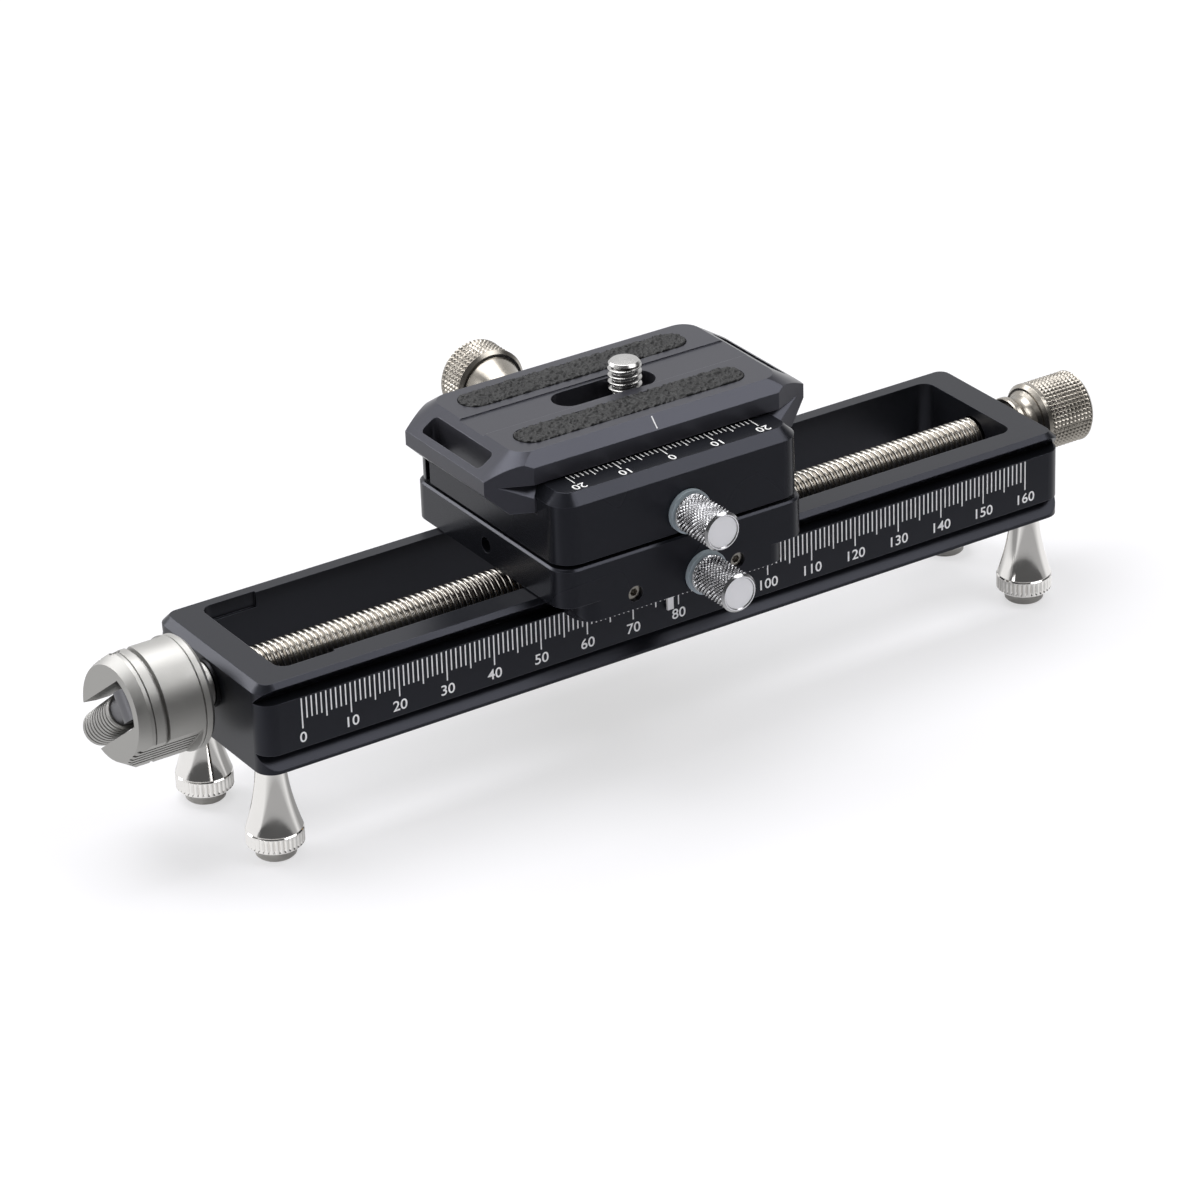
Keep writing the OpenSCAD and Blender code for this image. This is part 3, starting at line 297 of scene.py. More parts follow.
# Anodised aluminium over bead blasting: a dark, even skin. The blasted grain is finer than
# 0.1 mm and is drawn at 0.35 mm, so that it shows. Where lines are given, the long marks of
# milling run along X. On the edges a lighter tone is mixed into the colour: a painted highlight, a thin bright line.
def blackAnodised(name, tones, edgeHighlightTone, roughness, lines=0, ior=1.35):
    material, tree, shader, coords = newMaterial(name, ior=ior, tint="#e8ebff")
    colour = tonePatches(tree, shader, coords, tones, 24, 1, roughness - 0.015, roughness + 0.015)
    rounded = addNode(tree, "Bevel", {"samples": 6, "Radius": 0.16 * mm})
    flat = addNode(tree, "NewGeometry").outputs["Normal"]
    turn = addNode(tree, "VectorMath", {"operation": "DOT_PRODUCT"}, i0=rounded.outputs["Normal"], i1=flat)
    # The lighter tone on the rounded edges is a painted highlight, not the skin's own colour
    edgeHighlight = addNode(tree, "MapRange", {"From Min": 1.0, "From Max": 0.8, "To Min": 0.0, "To Max": 0.55},
                   value=turn.outputs["Value"])
    edge = addNode(tree, "Mix", {"data_type": "RGBA"}, i0=edgeHighlight.outputs["Result"], i6=colour)
    edge.inputs[7].default_value = toLinear(edgeHighlightTone)
    tree.links.new(edge.outputs[2], shader.inputs["Base Color"])
    grain = addNode(tree, "TexNoise", {"Scale": 1 / (0.35 * mm), "Detail": 2.0}, vector=coords)
    height = grain.outputs["Fac"]
    if lines:
        stretched = addNode(tree, "Mapping", {"Scale": (1 / (25 * mm), 1 / (lines * mm), 1 / (lines * mm))},
                            vector=coords)
        milled = addNode(tree, "TexNoise", {"Scale": 1.0, "Detail": 2.0}, vector=stretched.outputs["Vector"])
        height = addNode(tree, "Math", {"operation": "ADD"}, i0=height, i1=milled.outputs["Fac"]).outputs["Value"]
    bump = addNode(tree, "Bump", {"Strength": 0.06, "Distance": 0.005 * mm}, height=height,
                   normal=rounded.outputs["Normal"])
    tree.links.new(bump.outputs["Normal"], shader.inputs["Normal"])
    return material


# Turned metal: fine circular tool lines across its axis and softly broken edges, which
# catch a thin highlight. The feed marks are drawn a little coarser than real, to show.
def turnedMetal(name, tones, roughness, axis, lines, strength, metallic=1.0):
    material, tree, shader, coords = newMaterial(name, metallic=metallic)
    colour = tonePatches(tree, shader, coords, tones, 5, 3, roughness - 0.04, roughness + 0.06)
    tree.links.new(colour, shader.inputs["Base Color"])
    scale = [1 / (8 * mm)] * 3
    scale["XYZ".index(axis)] = 1 / (lines * mm)
    stretched = addNode(tree, "Mapping", {"Scale": tuple(scale)}, vector=coords)
    rings = addNode(tree, "TexNoise", {"Scale": 1.0, "Detail": 2.0}, vector=stretched.outputs["Vector"])
    rounded = addNode(tree, "Bevel", {"samples": 4, "Radius": 0.1 * mm})
    bump = addNode(tree, "Bump", {"Strength": strength, "Distance": 0.01 * mm}, height=rings.outputs["Fac"],
                   normal=rounded.outputs["Normal"])
    tree.links.new(bump.outputs["Normal"], shader.inputs["Normal"])
    return material


# Moulded or painted surfaces: soft tone patches and a fine skin of a given grain
def moulded(name, tones, roughness, grain, bumpHeight, **shaderValues):
    material, tree, shader, coords = newMaterial(name, **shaderValues)
    colour = tonePatches(tree, shader, coords, tones, 3, 3, roughness - 0.05, roughness + 0.05)
    tree.links.new(colour, shader.inputs["Base Color"])
    skin = addNode(tree, "TexNoise", {"Scale": 1 / (grain * mm), "Detail": 3.0}, vector=coords)
    bump = addNode(tree, "Bump", {"Strength": 0.5, "Distance": bumpHeight * mm}, height=skin.outputs["Fac"])
    tree.links.new(bump.outputs["Normal"], shader.inputs["Normal"])
    return material


# Black anodised aluminium: the rail and plate with milling marks, the plate a shade greyer
railBlack = blackAnodised("blackAnodisedRail", ("#18191d", "#1a1b1f"), "#5c5d66", 0.3, 0.3)
blockBlack = blackAnodised("blackAnodisedBlock", ("#18191d", "#1a1b1f"), "#5c5d66", 0.27)
plateBlack = blackAnodised("blackAnodisedPlate", ("#2f2f34", "#323237"), "#74757e", 0.3, 0.3, 1.45)
# Satin nickel plating on the crank knob: broad soft highlights
satinNickel = turnedMetal("satinNickelTurned", ("#a09f9d", "#aaa9a7"), 0.48, "X", 0.18, 0.4)
# Knurled steel: warm on the big knobs, cool on the lock knobs, and brighter there as painted light that stands in
# for reflections the dark room in front of them doesn't give
knurledSteelX = turnedMetal("knurledSteelX", ("#96918a", "#a39e96"), 0.27, "X", 0.2, 0.2)
knurledSteelY = turnedMetal("knurledSteelY", ("#aaaaad", "#b6b6b9"), 0.2, "Y", 0.2, 0.1)
# The lock knobs' faces get a near-white tone: a painted reflection of the bright floor in front of them
paintedReflectionFace = turnedMetal("paintedReflectionFaceY", ("#f2f2f5", "#f8f8fa"), 0.42, "Y", 0.2, 0.1, 0.3)
# Bright stainless steel: crisp highlights on the threads, near mirrors on the feet
stainlessX = turnedMetal("stainlessTurnedX", ("#9e9a94", "#a9a59f"), 0.2, "X", 0.15, 0.04)
stainlessZ = turnedMetal("stainlessTurnedZ", ("#e4e2e0", "#edebe9"), 0.08, "Z", 0.2, 0.06)
machinedSteel = turnedMetal("machinedSteelZ", ("#b4b3b2", "#c2c1c0"), 0.24, "Z", 0.2, 0.2)
# Bronze wearing parts, hinge steel darkened to a painted shade for the shadow in the crank's slot, and black oxide
# screws
bronze = turnedMetal("bronzeTurned", ("#a98c5f", "#b99b6c"), 0.35, "X", 0.2, 0.2)
shadedHingeSteel = turnedMetal("paintedShadeHingeSteelX", ("#66666a", "#707074"), 0.4, "X", 0.2, 0.1)
blackSteel = turnedMetal("blackOxideSteel", ("#2b2b2d", "#343436"), 0.4, "Z", 0.2, 0.2)
# Matt white filling of the scales, and dull pebbled rubber
enamelWhite = moulded("whiteEnamelFill", ("#e9e9e9", "#f2f2f2"), 0.5, 0.1, 0.004)
padRubber = moulded("pebbledRubber", ("#08080a", "#0e0e10"), 0.5, 0.2, 0.02, specular=0.35)
# Moulded plastics: smooth and slightly glossy
collarPlastic = moulded("acetalCollar", ("#98a4ab", "#a6b1b7"), 0.35, 0.2, 0.004)
footPlastic = moulded("nylonPad", ("#a9a7a2", "#b4b2ad"), 0.5, 0.2, 0.006)
washerPlastic = moulded("acetalWasher", ("#c9c7c0", "#d2d0ca"), 0.4, 0.2, 0.004)
print("materials made")

nodeFinish = {
    railBlack: ["rail_frame"],
    blockBlack: ["carriage_body", "clamp_body", "clamp_jaw"],
    plateBlack: ["plate_body"],
    satinNickel: ["crank_knob", "crank_grip"],
    shadedHingeSteel: ["crank_hinge_block"],
    stainlessX: ["crank_pin", "grip_screw", "gib_set_screws"],
    stainlessZ: ["pan_post", "pan_cap", "screw_washer", "jaw_washer", "jaw_guide_pins", "jaw_springs",
                 "jaw_screw"],
    bronze: ["drive_nut", "gib_strip", "slide_lock_plug", "pan_lock_plug"],
    blackSteel: ["screw_bushes", "thrust_washers", "knob_set_screws", "nut_screws", "post_set_screw",
                 "pan_screw"],
    enamelWhite: ["scale_pointer"],
    collarPlastic: ["slide_lock_collar", "pan_lock_collar"],
    footPlastic: ["foot_pads"],
    washerPlastic: ["pan_washer"],
}
for material, nodes in nodeFinish.items():
    for node in nodes:
        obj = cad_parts[node]
        obj.data.materials.clear()
        obj.data.materials.append(material)

# Lead screw: thread, journals and shafts in one closed surface
leadScrew = {"radius": 4.0, "pitch": 1.25, "depth": 0.72, "threadEnd": 81.8, "fadeTurns": 0.8,
             "profile": [0.0, 0.1, 0.62, 0.93, 1.0, 1.0, 0.93, 0.62, 0.1, 0.0],
             "journal": 3.0, "chamfer": 0.4, "segments": 60}


def makeLeadScrew(p):
    low, high = boxOf("lead_screw")
    origin = (0, 0, (low[2] + high[2]) / 2)
    end, journal, chamfer = p["threadEnd"], p["journal"], p["chamfer"]
    parts = [threadPart(p, -end, end, origin, (1, 0, 0))]
    for side, reach in ((-1, abs(low[0])), (1, high[0])):
        profile = [(p["radius"] - p["depth"], end), (journal, end), (journal, reach - chamfer),
                   (journal - chamfer, reach), (0, reach)]
        parts.append(lathePart(profile, origin, (side, 0, 0), p["segments"]))
    points, faces = joinParts(parts)
    piece = makeObject("leadScrewThread", points, faces, stainlessX, "leadscrew", 50)
    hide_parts("lead_screw")


makeLeadScrew(leadScrew)

# Camera screw: short coarse thread with a chamfered tip, over a shank and a head
cameraScrew = {"radius": 3.175, "pitch": 1.27, "depth": 0.78, "threadLength": 6.5, "fadeTurns": 0.25,
               "profile": [0.0, 0.05, 0.4, 0.8, 1.0, 1.0, 0.8, 0.4, 0.05, 0.0],
               "tip": 0.55, "tipStep": 0.1, "tipEdge": 0.05, "tipRound": 0.2, "lipIn": 0.25, "lip": 0.15,
               "head": 3, "headChamfer": 0.3, "neck": 0.2, "segments": 64}


def makeCameraScrew(p):
    low, high = boxOf("camera_screw")
    centre = ((low[0] + high[0]) / 2, (low[1] + high[1]) / 2, 0)
    bottom, top = low[2], high[2]
    headRadius, headTop, headChamfer = (high[0] - low[0]) / 2, bottom + p["head"], p["headChamfer"]
    start, end = top - p["threadLength"], top - p["tip"] - p["tipStep"]
    root, tipRadius = p["radius"] - p["depth"], p["radius"] - p["tip"]
    tip = [(root, end), (p["radius"] - p["lipIn"], end), (p["radius"] - p["lip"], end + p["lip"]),
           (tipRadius, top - p["tipEdge"]), (tipRadius - p["tipRound"], top), (0, top)]
    shank = [(0, bottom), (headRadius - headChamfer, bottom), (headRadius, bottom + headChamfer),
             (headRadius, headTop), (root + p["neck"], headTop), (root, start)]
    parts = [threadPart(p, start, end, centre, (0, 0, 1))]
    parts += [lathePart(profile, centre, (0, 0, 1), p["segments"]) for profile in (tip, shank)]
    points, faces = joinParts(parts)
    piece = makeObject("cameraScrewThread", points, faces, machinedSteel, "camera_turner", 30)
    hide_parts("camera_screw")


makeCameraScrew(cameraScrew)
print("threads made")

# The fine knob on the rail's right end and the clamp's rear knob: a waisted neck, given as
# radius and distance from the knob's start, then a drum with a square grid of knurls
fineKnob = {"radius": 7.05, "drumStart": 4.8, "rim": 1.5, "chamfer": 0.7,
            "neck": [(5.4, 0), (5.6, 0.3), (5.6, 1.2), (5.2, 1.6), (4.85, 2.3), (4.8, 2.8), (4.85, 3.3),
                     (5.2, 4.1), (5.85, 4.8)],
            "pattern": "grid", "count": 48, "depth": 0.36, "fade": 0.4, "flat": 1.15, "step": 0.15}
jawKnob = {"radius": 7.4, "drumStart": 13.8, "rim": 0.7, "chamfer": 0.7,
           "neck": [(4.2, 0), (4.4, 0.3), (4.4, 2), (3.9, 2.6), (3.9, 7), (4.1, 8.6), (4.6, 10.2),
                    (5.4, 11.8), (5.9, 13.2), (6.1, 13.8)],
           "pattern": "grid", "count": 48, "depth": 0.36, "fade": 0.4, "flat": 1.15, "step": 0.17}


def makeDrumKnob(p, node, body, name, along):
    low, high = boxOf(node)
    axis = np.eye(3)[along]
    origin = (low + high) / 2 * (1 - axis)
    start, end = low[along], high[along]
    drum = start + p["drumStart"]
    r, c = p["radius"], p["chamfer"]
    profile = ([(0, start)] + [(radius, start + place) for radius, place in p["neck"]]
               + [(r - c, drum), (r, drum + c), (r, drum + p["rim"]), (r, end - c), (r - c, end), (0, end)])
    knurl = knurlOf(p, r, drum + p["rim"], end - c)
    piece = turned(name, profile, origin, axis, knurledSteelX, body, knurl, 18)
    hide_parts(node)


makeDrumKnob(fineKnob, "fine_knob", "leadscrew", "fineKnobKnurled", 0)
makeDrumKnob(jawKnob, "jaw_knob", "jaw_turner", "jawKnobKnurled", 1)

# The two lock knobs point forwards. The rim is given as distances in from the radius and
# back from the end: a round edge, a narrow lip and a face that lies a little deeper.
lockKnob = {"radius": 3.8, "length": 10.2, "stud": 2.0, "chamfer": 0.4,
            "rim": [(0, 0.5), (0.35, 0.15), (0.45, 0), (0.65, 0), (0.8, 0.2)],
            "pattern": "diamond", "count": 26, "depth": 0.36, "fade": 0.35, "flat": 1.15, "step": 0.15}


def makeLockKnob(p, node, body, name):
    low, high = boxOf(node)
    end, studEnd = -low[1], -high[1]
    start = end - p["length"]
    r, c = p["radius"], p["chamfer"]
    profile = ([(0, studEnd), (p["stud"], studEnd), (p["stud"], start), (r - c, start), (r, start + c)]
               + [(r - inwards, end - back) for inwards, back in p["rim"]] + [(0, end - p["rim"][-1][1])])
    knurl = knurlOf(p, r, start + c, end - p["rim"][0][1])
    origin = ((low[0] + high[0]) / 2, 0, (low[2] + high[2]) / 2)
    piece = turned(name, profile, origin, (0, -1, 0), knurledSteelY, body, knurl, 18)
    # The flat end face takes the near-white material, a painted reflection of the floor in front
    piece.data.materials.append(paintedReflectionFace)
    normals, centres = np.empty((2, len(piece.data.polygons) * 3))
    piece.data.polygons.foreach_get("normal", normals)
    piece.data.polygons.foreach_get("center", centres)
    face = (normals[1::3] < -0.95) & (centres[1::3] < -(end - 2 * p["rim"][-1][1]) * mm)
    piece.data.polygons.foreach_set("material_index", face.astype(np.int32))
    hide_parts(node)


makeLockKnob(lockKnob, "slide_lock_knob", "slide_lock", "slideLockKnurled")
makeLockKnob(lockKnob, "pan_lock_knob", "pan_lock", "panLockKnurled")
print("knobs made")

# Feet: a stem whose radius grows from the top to the ring with a power of the way down,
# over a ring with straight knurling, and a stud up into the rail
foot = {"topRadius": 2.75, "curve": 1.8, "stemRows": 22, "shoulder": 0.1, "padHeight": 2.25,
        "ringRadius": 5.35, "ringHeight": 3.4, "chamfer": 0.35, "stud": 2.0, "studLength": 6.0,
        "pattern": "straight", "count": 34, "depth": 0.3, "fade": 0.05, "flat": 1.6, "step": 0.4}


def makeFeet(p):
    low, high = boxOf("foot_posts")
    ring, c = p["ringRadius"], p["chamfer"]
    top = -boxOf("foot_pads")[0][2] - p["padHeight"] - p["ringHeight"]
    bottom = top + p["ringHeight"]
    down = np.linspace(0, 1, p["stemRows"])
    radius = p["topRadius"] + (ring - p["shoulder"] - p["topRadius"]) * down ** p["curve"]
    profile = ([(0, -p["studLength"]), (p["stud"], -p["studLength"]), (p["stud"], 0)]
               + list(zip(radius, top * down))
               + [(ring - c, top), (ring, top + c), (ring, bottom - c), (ring - c, bottom), (0, bottom)])
    for k in range(4):
        x = (low[0] + ring, high[0] - ring)[k % 2]
        y = (low[1] + ring, high[1] - ring)[k // 2]
        knurl = knurlOf(p, ring, top + c, bottom - c)
        piece = turned("footPost%d" % (k + 1), profile, (x, y, 0), (0, 0, -1), stainlessZ, "rail", knurl)
        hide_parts("foot_posts")


makeFeet(foot)
print("feet made")

# Rubber pads
pads = {"width": 6.6, "step": 0.13, "pebble": 0.6, "height": 0.42, "edge": 0.4, "edgeDrop": 0.3, "seed": 4,
        "fineness": 2.1, "fineShare": 0.5, "low": 0.25, "steepness": 2, "offset": 60, "padOffset": 20}


# Smooth noise: a coarse grid of seeded random numbers, read between its points by a
# cubic fade along both directions
def valueNoise(x, y, seed):
    size = 256
    table = np.random.default_rng(seed).random((size, size))
    xi, yi = np.floor(x).astype(int), np.floor(y).astype(int)
    fx, fy = x - xi, y - yi
    fx, fy = fx * fx * (3 - 2 * fx), fy * fy * (3 - 2 * fy)
    pick = lambda i, j: table[(xi + i) % size, (yi + j) % size]
    return (pick(0, 0) * (1 - fx) + pick(1, 0) * fx) * (1 - fy) + (pick(0, 1) * (1 - fx) + pick(1, 1) * fx) * fy


# A pad's plan is a stadium: its half width at a place along is the square root of the end
# radius squared less how far the place is into the round end, squared. The top is the
# full height less a clipped sum of two noises, and rounds down by a quarter circle at the rim.
def makePads(p):
    low, high = boxOf("grip_pads")
    half, r = (high[0] - low[0]) / 2, p["width"] / 2
    u = np.linspace(-1, 1, int(2 * half / p["step"]))
    v = np.linspace(-1, 1, int(p["width"] / p["step"]))
    x = u[:, None] * half * np.ones_like(v)[None]
    reach = np.sqrt(np.clip(r * r - np.clip(np.abs(x) - (half - r), 0, None) ** 2, 0.0004, None))
    y = v[None] * reach
    fall = np.clip(np.minimum(reach - np.abs(y), half - np.abs(x)) / p["edge"], 0, 1)
    rim = (1 - np.sqrt(1 - (1 - fall) ** 2)) * p["edgeDrop"]
    rows, cols = x.shape
    i, j = np.meshgrid(np.arange(rows - 1), np.arange(cols - 1), indexing="ij")
    quads = np.stack([i * cols + j, (i + 1) * cols + j, (i + 1) * cols + j + 1, i * cols + j + 1], axis=-1)
    quads = quads.reshape(-1, 4)
    border = np.concatenate([np.arange(cols), np.arange(1, rows) * cols + cols - 1,
                             rows * cols - 1 - np.arange(1, cols), np.arange(rows - 2, 0, -1) * cols])
    after = np.roll(border, -1)
    walls = np.stack([border, after, after + rows * cols, border + rows * cols], axis=-1)
    faces = np.concatenate([quads, quads[:, ::-1] + rows * cols, walls])
    for k, centreY in enumerate((low[1] + r, high[1] - r)):
        coarseX, coarseY = (x + p["offset"]) / p["pebble"], (y + p["offset"] + p["padOffset"] * k) / p["pebble"]
        fineX, fineY = [(c + p["offset"]) * p["fineness"] / p["pebble"] for c in (x, y)]
        pebbles = valueNoise(coarseX, coarseY, p["seed"]) + p["fineShare"] * valueNoise(fineX, fineY, p["seed"] + 1)
        pebbles = np.clip((pebbles / (1 + p["fineShare"]) - p["low"]) * p["steepness"], 0, 1)
        z = np.minimum(high[2] - p["height"] + p["height"] * pebbles - rim, high[2])
        top = np.stack([x + (low[0] + high[0]) / 2, y + centreY, z], axis=-1).reshape(-1, 3)
        bottom = top.copy()
        bottom[:, 2] = low[2]
        piece = makeObject("gripPad%d" % (k + 1), np.concatenate([top, bottom]), faces, padRubber, "plate", 60)
        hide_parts("grip_pads")


makePads(pads)
print("pads made")

# Rail scale: a mark each millimetre, longer at 5 and 10, and a number each 10. Marks and
# numbers stand proud by a hair, so that they show on the black face.
railScale = {"first": -80.5, "last": 160, "top": 13.66, "ends": {10: 7.67, 5: 8.6, 1: 9.5}, "line": 0.26,
             "proud": 0.012, "sunk": 0.03, "numberHeight": 2.1, "numberZ": 6.0}


def markEnds(marks, ends):
    return np.select([marks % every == 0 for every in ends], list(ends.values()))


def makeRailScale(p):
    faceY = boxOf("rail_frame")[0][1]
    marks = np.arange(p["last"] + 1)
    x = p["first"] + marks
    same = np.ones(len(x))
    low = np.stack([x - p["line"] / 2, (faceY - p["proud"]) * same, markEnds(marks, p["ends"])], axis=-1)
    high = np.stack([x + p["line"] / 2, (faceY + p["sunk"]) * same, p["top"] * same], axis=-1)
    points, faces = boxParts(low, high)
    makeObject("railTicks", points, faces, enamelWhite, "rail")
    middleY = faceY + numerals["thickness"] / 2 - p["proud"]
    parts = []
    for value in range(0, p["last"] + 1, 10):
        flat, shape = numberPart(numerals, str(value), p["numberHeight"])
        placed = [flat[:, 0] + p["first"] + value, middleY - flat[:, 2], flat[:, 1] + p["numberZ"]]
        parts.append((np.stack(placed, axis=-1), shape))
    points, faces = joinParts(parts)
    makeObject("railNumbers", points, faces, enamelWhite, "rail")


makeRailScale(railScale)

# Clamp scale: 20 millimetres to each side of the middle; its numbers read from behind
clampScale = {"reach": 20, "inner": -17.2, "ends": {10: -20.3, 5: -19.5, 1: -18.7}, "line": 0.24,
              "proud": 0.012, "sunk": 0.03, "numberHeight": 1.95, "numberY": -21.9}


def makeClampScale(p):
    low, high = boxOf("clamp_body")
    topZ, centreX = high[2], (low[0] + high[0]) / 2
    marks = np.arange(-p["reach"], p["reach"] + 1)
    x = centreX + marks
    same = np.ones(len(x))
    lowest = np.stack([x - p["line"] / 2, markEnds(marks, p["ends"]), (topZ - p["sunk"]) * same], axis=-1)
    highest = np.stack([x + p["line"] / 2, p["inner"] * same, (topZ + p["proud"]) * same], axis=-1)
    points, faces = boxParts(lowest, highest)
    makeObject("clampTicks", points, faces, enamelWhite, "clamp")
    middleZ = topZ + p["proud"] - numerals["thickness"] / 2
    parts = []
    for value in range(-p["reach"], p["reach"] + 1, 10):
        flat, shape = numberPart(numerals, str(abs(value)), p["numberHeight"])
        placed = [centreX + value - flat[:, 0], p["numberY"] - flat[:, 1], middleZ + flat[:, 2]]
        parts.append((np.stack(placed, axis=-1), shape))
    points, faces = joinParts(parts)
    makeObject("clampNumbers", points, faces, enamelWhite, "clamp")


makeClampScale(clampScale)

# Index line down the plate's front chamfer
indexLine = {"width": 0.25, "proud": 0.012, "sunk": 0.03, "chamfer": 2.3, "margin": 0.25}


# A thin box on the slope: its ends lie a margin inside the chamfer, and its two long
# faces stand off the slope by the proud and the sunk distance
def makeIndexLine(p):
    low, high = boxOf("plate_body")
    x = (low[0] + high[0]) / 2
    start = np.array([0, low[1] + p["margin"], high[2] - p["chamfer"] + p["margin"]])
    end = np.array([0, low[1] + p["chamfer"] - p["margin"], high[2] - p["margin"]])
    out = np.array([0, -1, 1]) / math.sqrt(2)
    points = [base + out * lift + np.array([x + side * p["width"] / 2, 0, 0])
              for lift in (-p["sunk"], p["proud"]) for base, side in ((start, -1), (start, 1), (end, 1), (end, -1))]
    makeObject("plateIndexLine", np.array(points), boxFaces, enamelWhite, "plate")


makeIndexLine(indexLine)
print("scales made")

# Floor: pale, and whiter with the distance where the camera looks. Metal mirrors it as a
# bright sheet that darkens towards the dark room in front; under the rail it is dimmed as a painted shadow in the
# reflections.
floorLook = {"size": 6.0, "tone": "#f1f0f6", "roughness": 0.9, "glow": 0.58, "whiterFrom": 250, "whiterTo": 1100,
             "mirroredNear": 1.0, "mirroredFar": 0.45, "darkFrom": -31, "darkTo": -68,
             "under": 0.34, "underEdges": {"X": (72, 92), "Y": (14, 36)}}


def makeFloor(p):
    z = cadBox[0][2]
    half = p["size"] / 2
    mesh = bpy.data.meshes.new("floor")
    mesh.from_pydata([(-half, -half, z), (half, -half, z), (half, half, z), (-half, half, z)], [], [(0, 1, 2, 3)])
    floor = bpy.data.objects.new("floor", mesh)
    bpy.context.collection.objects.link(floor)
    material, tree, shader, coords = newMaterial("paleFloor", base=p["tone"], roughness=p["roughness"], specular=0.0)
    light = addNode(tree, "LightPath")
    away = addNode(tree, "VectorMath", {"operation": "LENGTH"}, i0=coords)
    whiter = addNode(tree, "MapRange", {"From Min": p["whiterFrom"] * mm, "From Max": p["whiterTo"] * mm,
                                        "To Min": p["glow"], "To Max": 1.0}, value=away.outputs["Value"])
    amount = addNode(tree, "Math", {"operation": "MULTIPLY"}, i0=light.outputs["Is Camera Ray"],
                     i1=whiter.outputs["Result"])
    glow = addNode(tree, "Emission", {"Color": (1, 1, 1, 1), "Strength": 1.0})
    seen = addNode(tree, "MixShader", None, i0=amount.outputs["Value"], i1=shader.outputs["BSDF"],
                   i2=glow.outputs["Emission"])
    place = addNode(tree, "SeparateXYZ", None, vector=coords)
    fall = addNode(tree, "MapRange", {"From Min": p["darkTo"] * mm, "From Max": p["darkFrom"] * mm,
                                      "To Min": p["mirroredFar"], "To Max": p["mirroredNear"]},
                   value=place.outputs["Y"])
    # Under the rail the mirrored sheet drops to the under level: a painted shadow seen only in reflections
    beside = []
    for axis, (near, far) in p["underEdges"].items():
        distance = addNode(tree, "Math", {"operation": "ABSOLUTE"}, i0=place.outputs[axis])
        beside.append(addNode(tree, "MapRange", {"From Min": near * mm, "From Max": far * mm, "To Min": p["under"],
                                                 "To Max": 1.0}, value=distance.outputs["Value"]).outputs["Result"])
    clear = addNode(tree, "Math", {"operation": "MAXIMUM"}, i0=beside[0], i1=beside[1])
    level = addNode(tree, "Math", {"operation": "MULTIPLY"}, i0=clear.outputs["Value"], i1=fall.outputs["Result"])
    sheet = addNode(tree, "Emission", {"Color": (1, 1, 1, 1)}, strength=level.outputs["Value"])
    mix = addNode(tree, "MixShader", None, i0=light.outputs["Is Glossy Ray"], i1=seen.outputs["Shader"],
                  i2=sheet.outputs["Emission"])
    tree.links.new(mix.outputs["Shader"], tree.nodes["Material Output"].inputs["Surface"])
    mesh.materials.append(material)


makeFloor(floorLook)

# Soft lamps, in metres and watts, aimed a little above the floor's middle
lamps = {
    "overhead": {"place": (0.0, 0.35, 1.1), "size": (1.2, 0.8), "power": 14.0},
    "overFront": {"place": (0.55, -0.5, 0.95), "size": (0.8, 0.5), "power": 5.5},
    "leftSide": {"place": (-1.2, -0.1, 0.5), "size": (0.5, 0.8), "power": 3.2},
    "rearLeft": {"place": (-0.68, 1.0, 0.66), "size": (0.6, 0.4), "power": 5.5},
}
lampTarget = (0, 0, 0.015)


def makeLamps(p):
    for name, lamp in p.items():
        data = bpy.data.lights.new(name, "AREA")
        data.shape = "RECTANGLE"
        data.size, data.size_y = lamp["size"]
        data.energy = lamp["power"]
        obj = bpy.data.objects.new(name, data)
        obj.location = lamp["place"]
        aim = mathutils.Vector(lampTarget) - obj.location
        obj.rotation_euler = aim.to_track_quat("-Z", "Y").to_euler()
        bpy.context.collection.objects.link(obj)


makeLamps(lamps)

# The room: white where the camera looks, bright panels behind the object and a dark room
# in front of it where metal mirrors it, and a faint even light elsewhere
studio = {"seen": 1.0, "ambient": 0.09, "frontDark": 0.1, "backPanel": 0.95, "panelFrom": -0.1, "panelTo": 0.45}


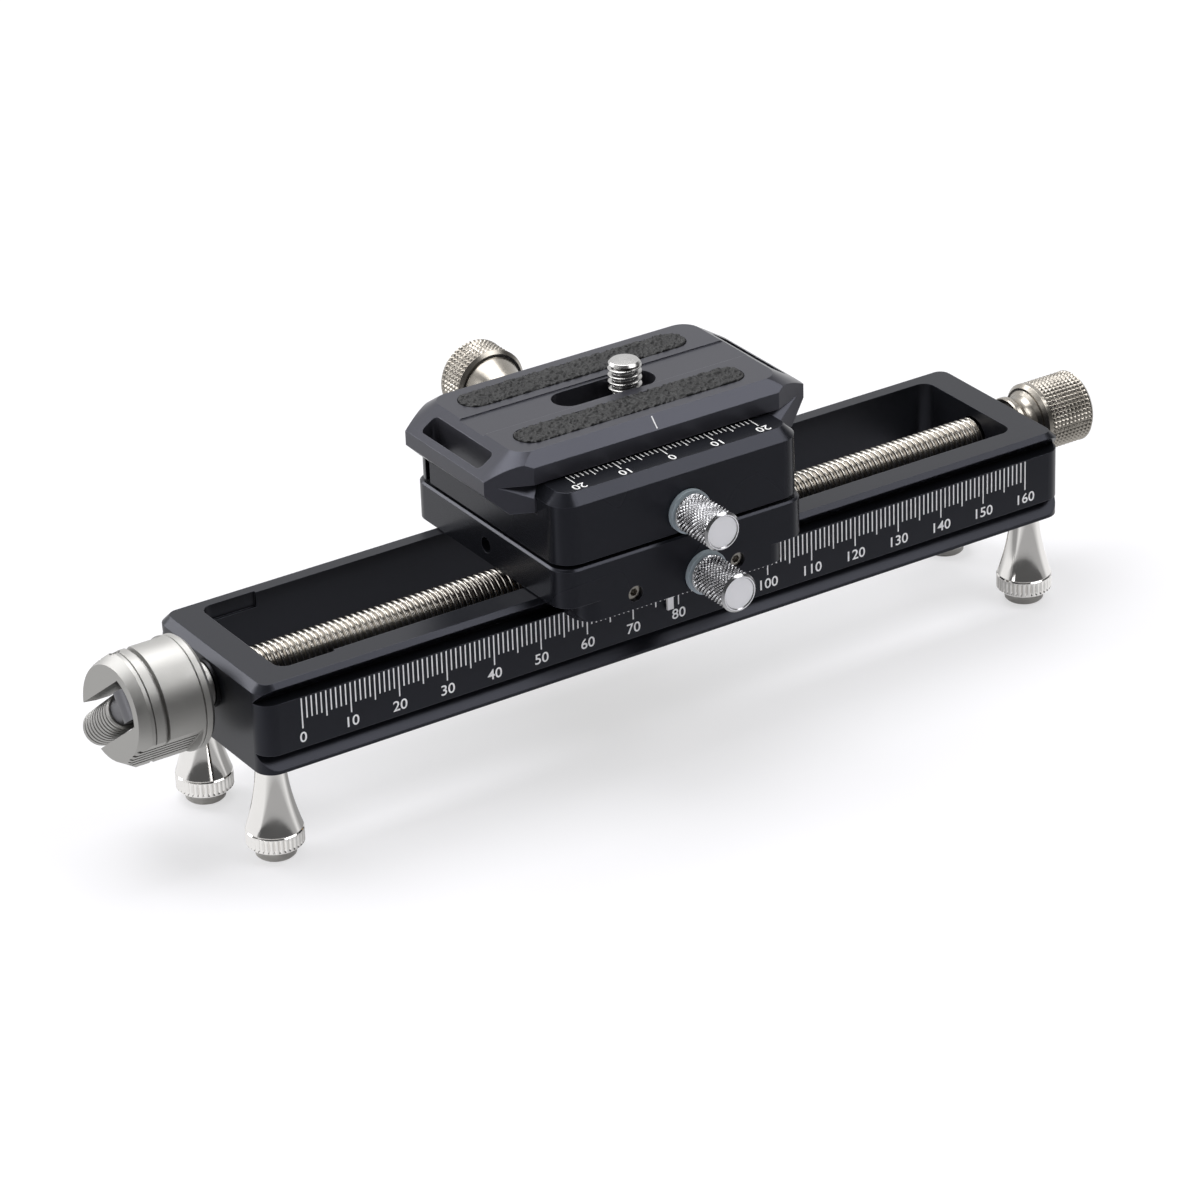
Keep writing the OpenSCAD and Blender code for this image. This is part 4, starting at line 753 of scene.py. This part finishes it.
def makeWorld(p):
    world = bpy.data.worlds.new("studio")
    world.use_nodes = True
    tree = world.node_tree
    light = addNode(tree, "LightPath")
    way = addNode(tree, "SeparateXYZ", None, vector=addNode(tree, "TexCoord").outputs["Generated"])
    mirrored = addNode(tree, "MapRange", {"From Min": p["panelFrom"], "From Max": p["panelTo"],
                                          "To Min": p["frontDark"], "To Max": p["backPanel"],
                                          "interpolation_type": "SMOOTHSTEP"}, value=way.outputs["Y"])
    seen = addNode(tree, "Math", {"operation": "MAXIMUM"}, i0=light.outputs["Is Camera Ray"],
                   i1=light.outputs["Is Transmission Ray"])
    glossy = addNode(tree, "Mix", {"data_type": "FLOAT"}, i0=light.outputs["Is Glossy Ray"],
                     i3=mirrored.outputs["Result"])
    glossy.inputs[2].default_value = p["ambient"]
    strength = addNode(tree, "Mix", {"data_type": "FLOAT"}, i0=seen.outputs["Value"], i2=glossy.outputs["Result"])
    strength.inputs[3].default_value = p["seen"]
    tree.nodes["Background"].inputs["Color"].default_value = (1, 1, 1, 1)
    tree.links.new(strength.outputs["Result"], tree.nodes["Background"].inputs["Strength"])
    bpy.context.scene.world = world


makeWorld(studio)

# The camera stands where the photograph was taken, fitted from the rail's own scale; the
# place is in millimetres, and the focal length, centre and picture are in picture points
camera = {"place": (-461.94, -721.47, 439.81), "focal": 5135.73, "centre": (612.83, 597.34), "picture": 1200,
          "sensor": 36, "clip": (0.05, 20),
          "right": (0.83485274, -0.54966037, -0.02990603), "down": (-0.2729659, -0.36619314, -0.88960227),
          "ahead": (0.47802774, 0.75085022, -0.45575589)}


def makeCamera(p):
    data = bpy.data.cameras.new("photoCamera")
    data.sensor_width = p["sensor"]
    data.lens = p["focal"] / p["picture"] * data.sensor_width
    data.shift_x = (p["picture"] / 2 - p["centre"][0]) / p["picture"]
    data.shift_y = (p["centre"][1] - p["picture"] / 2) / p["picture"]
    data.clip_start, data.clip_end = p["clip"]
    obj = bpy.data.objects.new("photoCamera", data)
    columns = np.array([p["right"], -np.array(p["down"]), -np.array(p["ahead"])]).T
    turnMatrix = mathutils.Matrix(columns.tolist()).to_4x4()
    obj.matrix_world = mathutils.Matrix.Translation([c * mm for c in p["place"]]) @ turnMatrix
    bpy.context.collection.objects.link(obj)
    bpy.context.scene.camera = obj


makeCamera(camera)
bpy.context.scene.view_settings.view_transform = "Standard"
print("stage made")
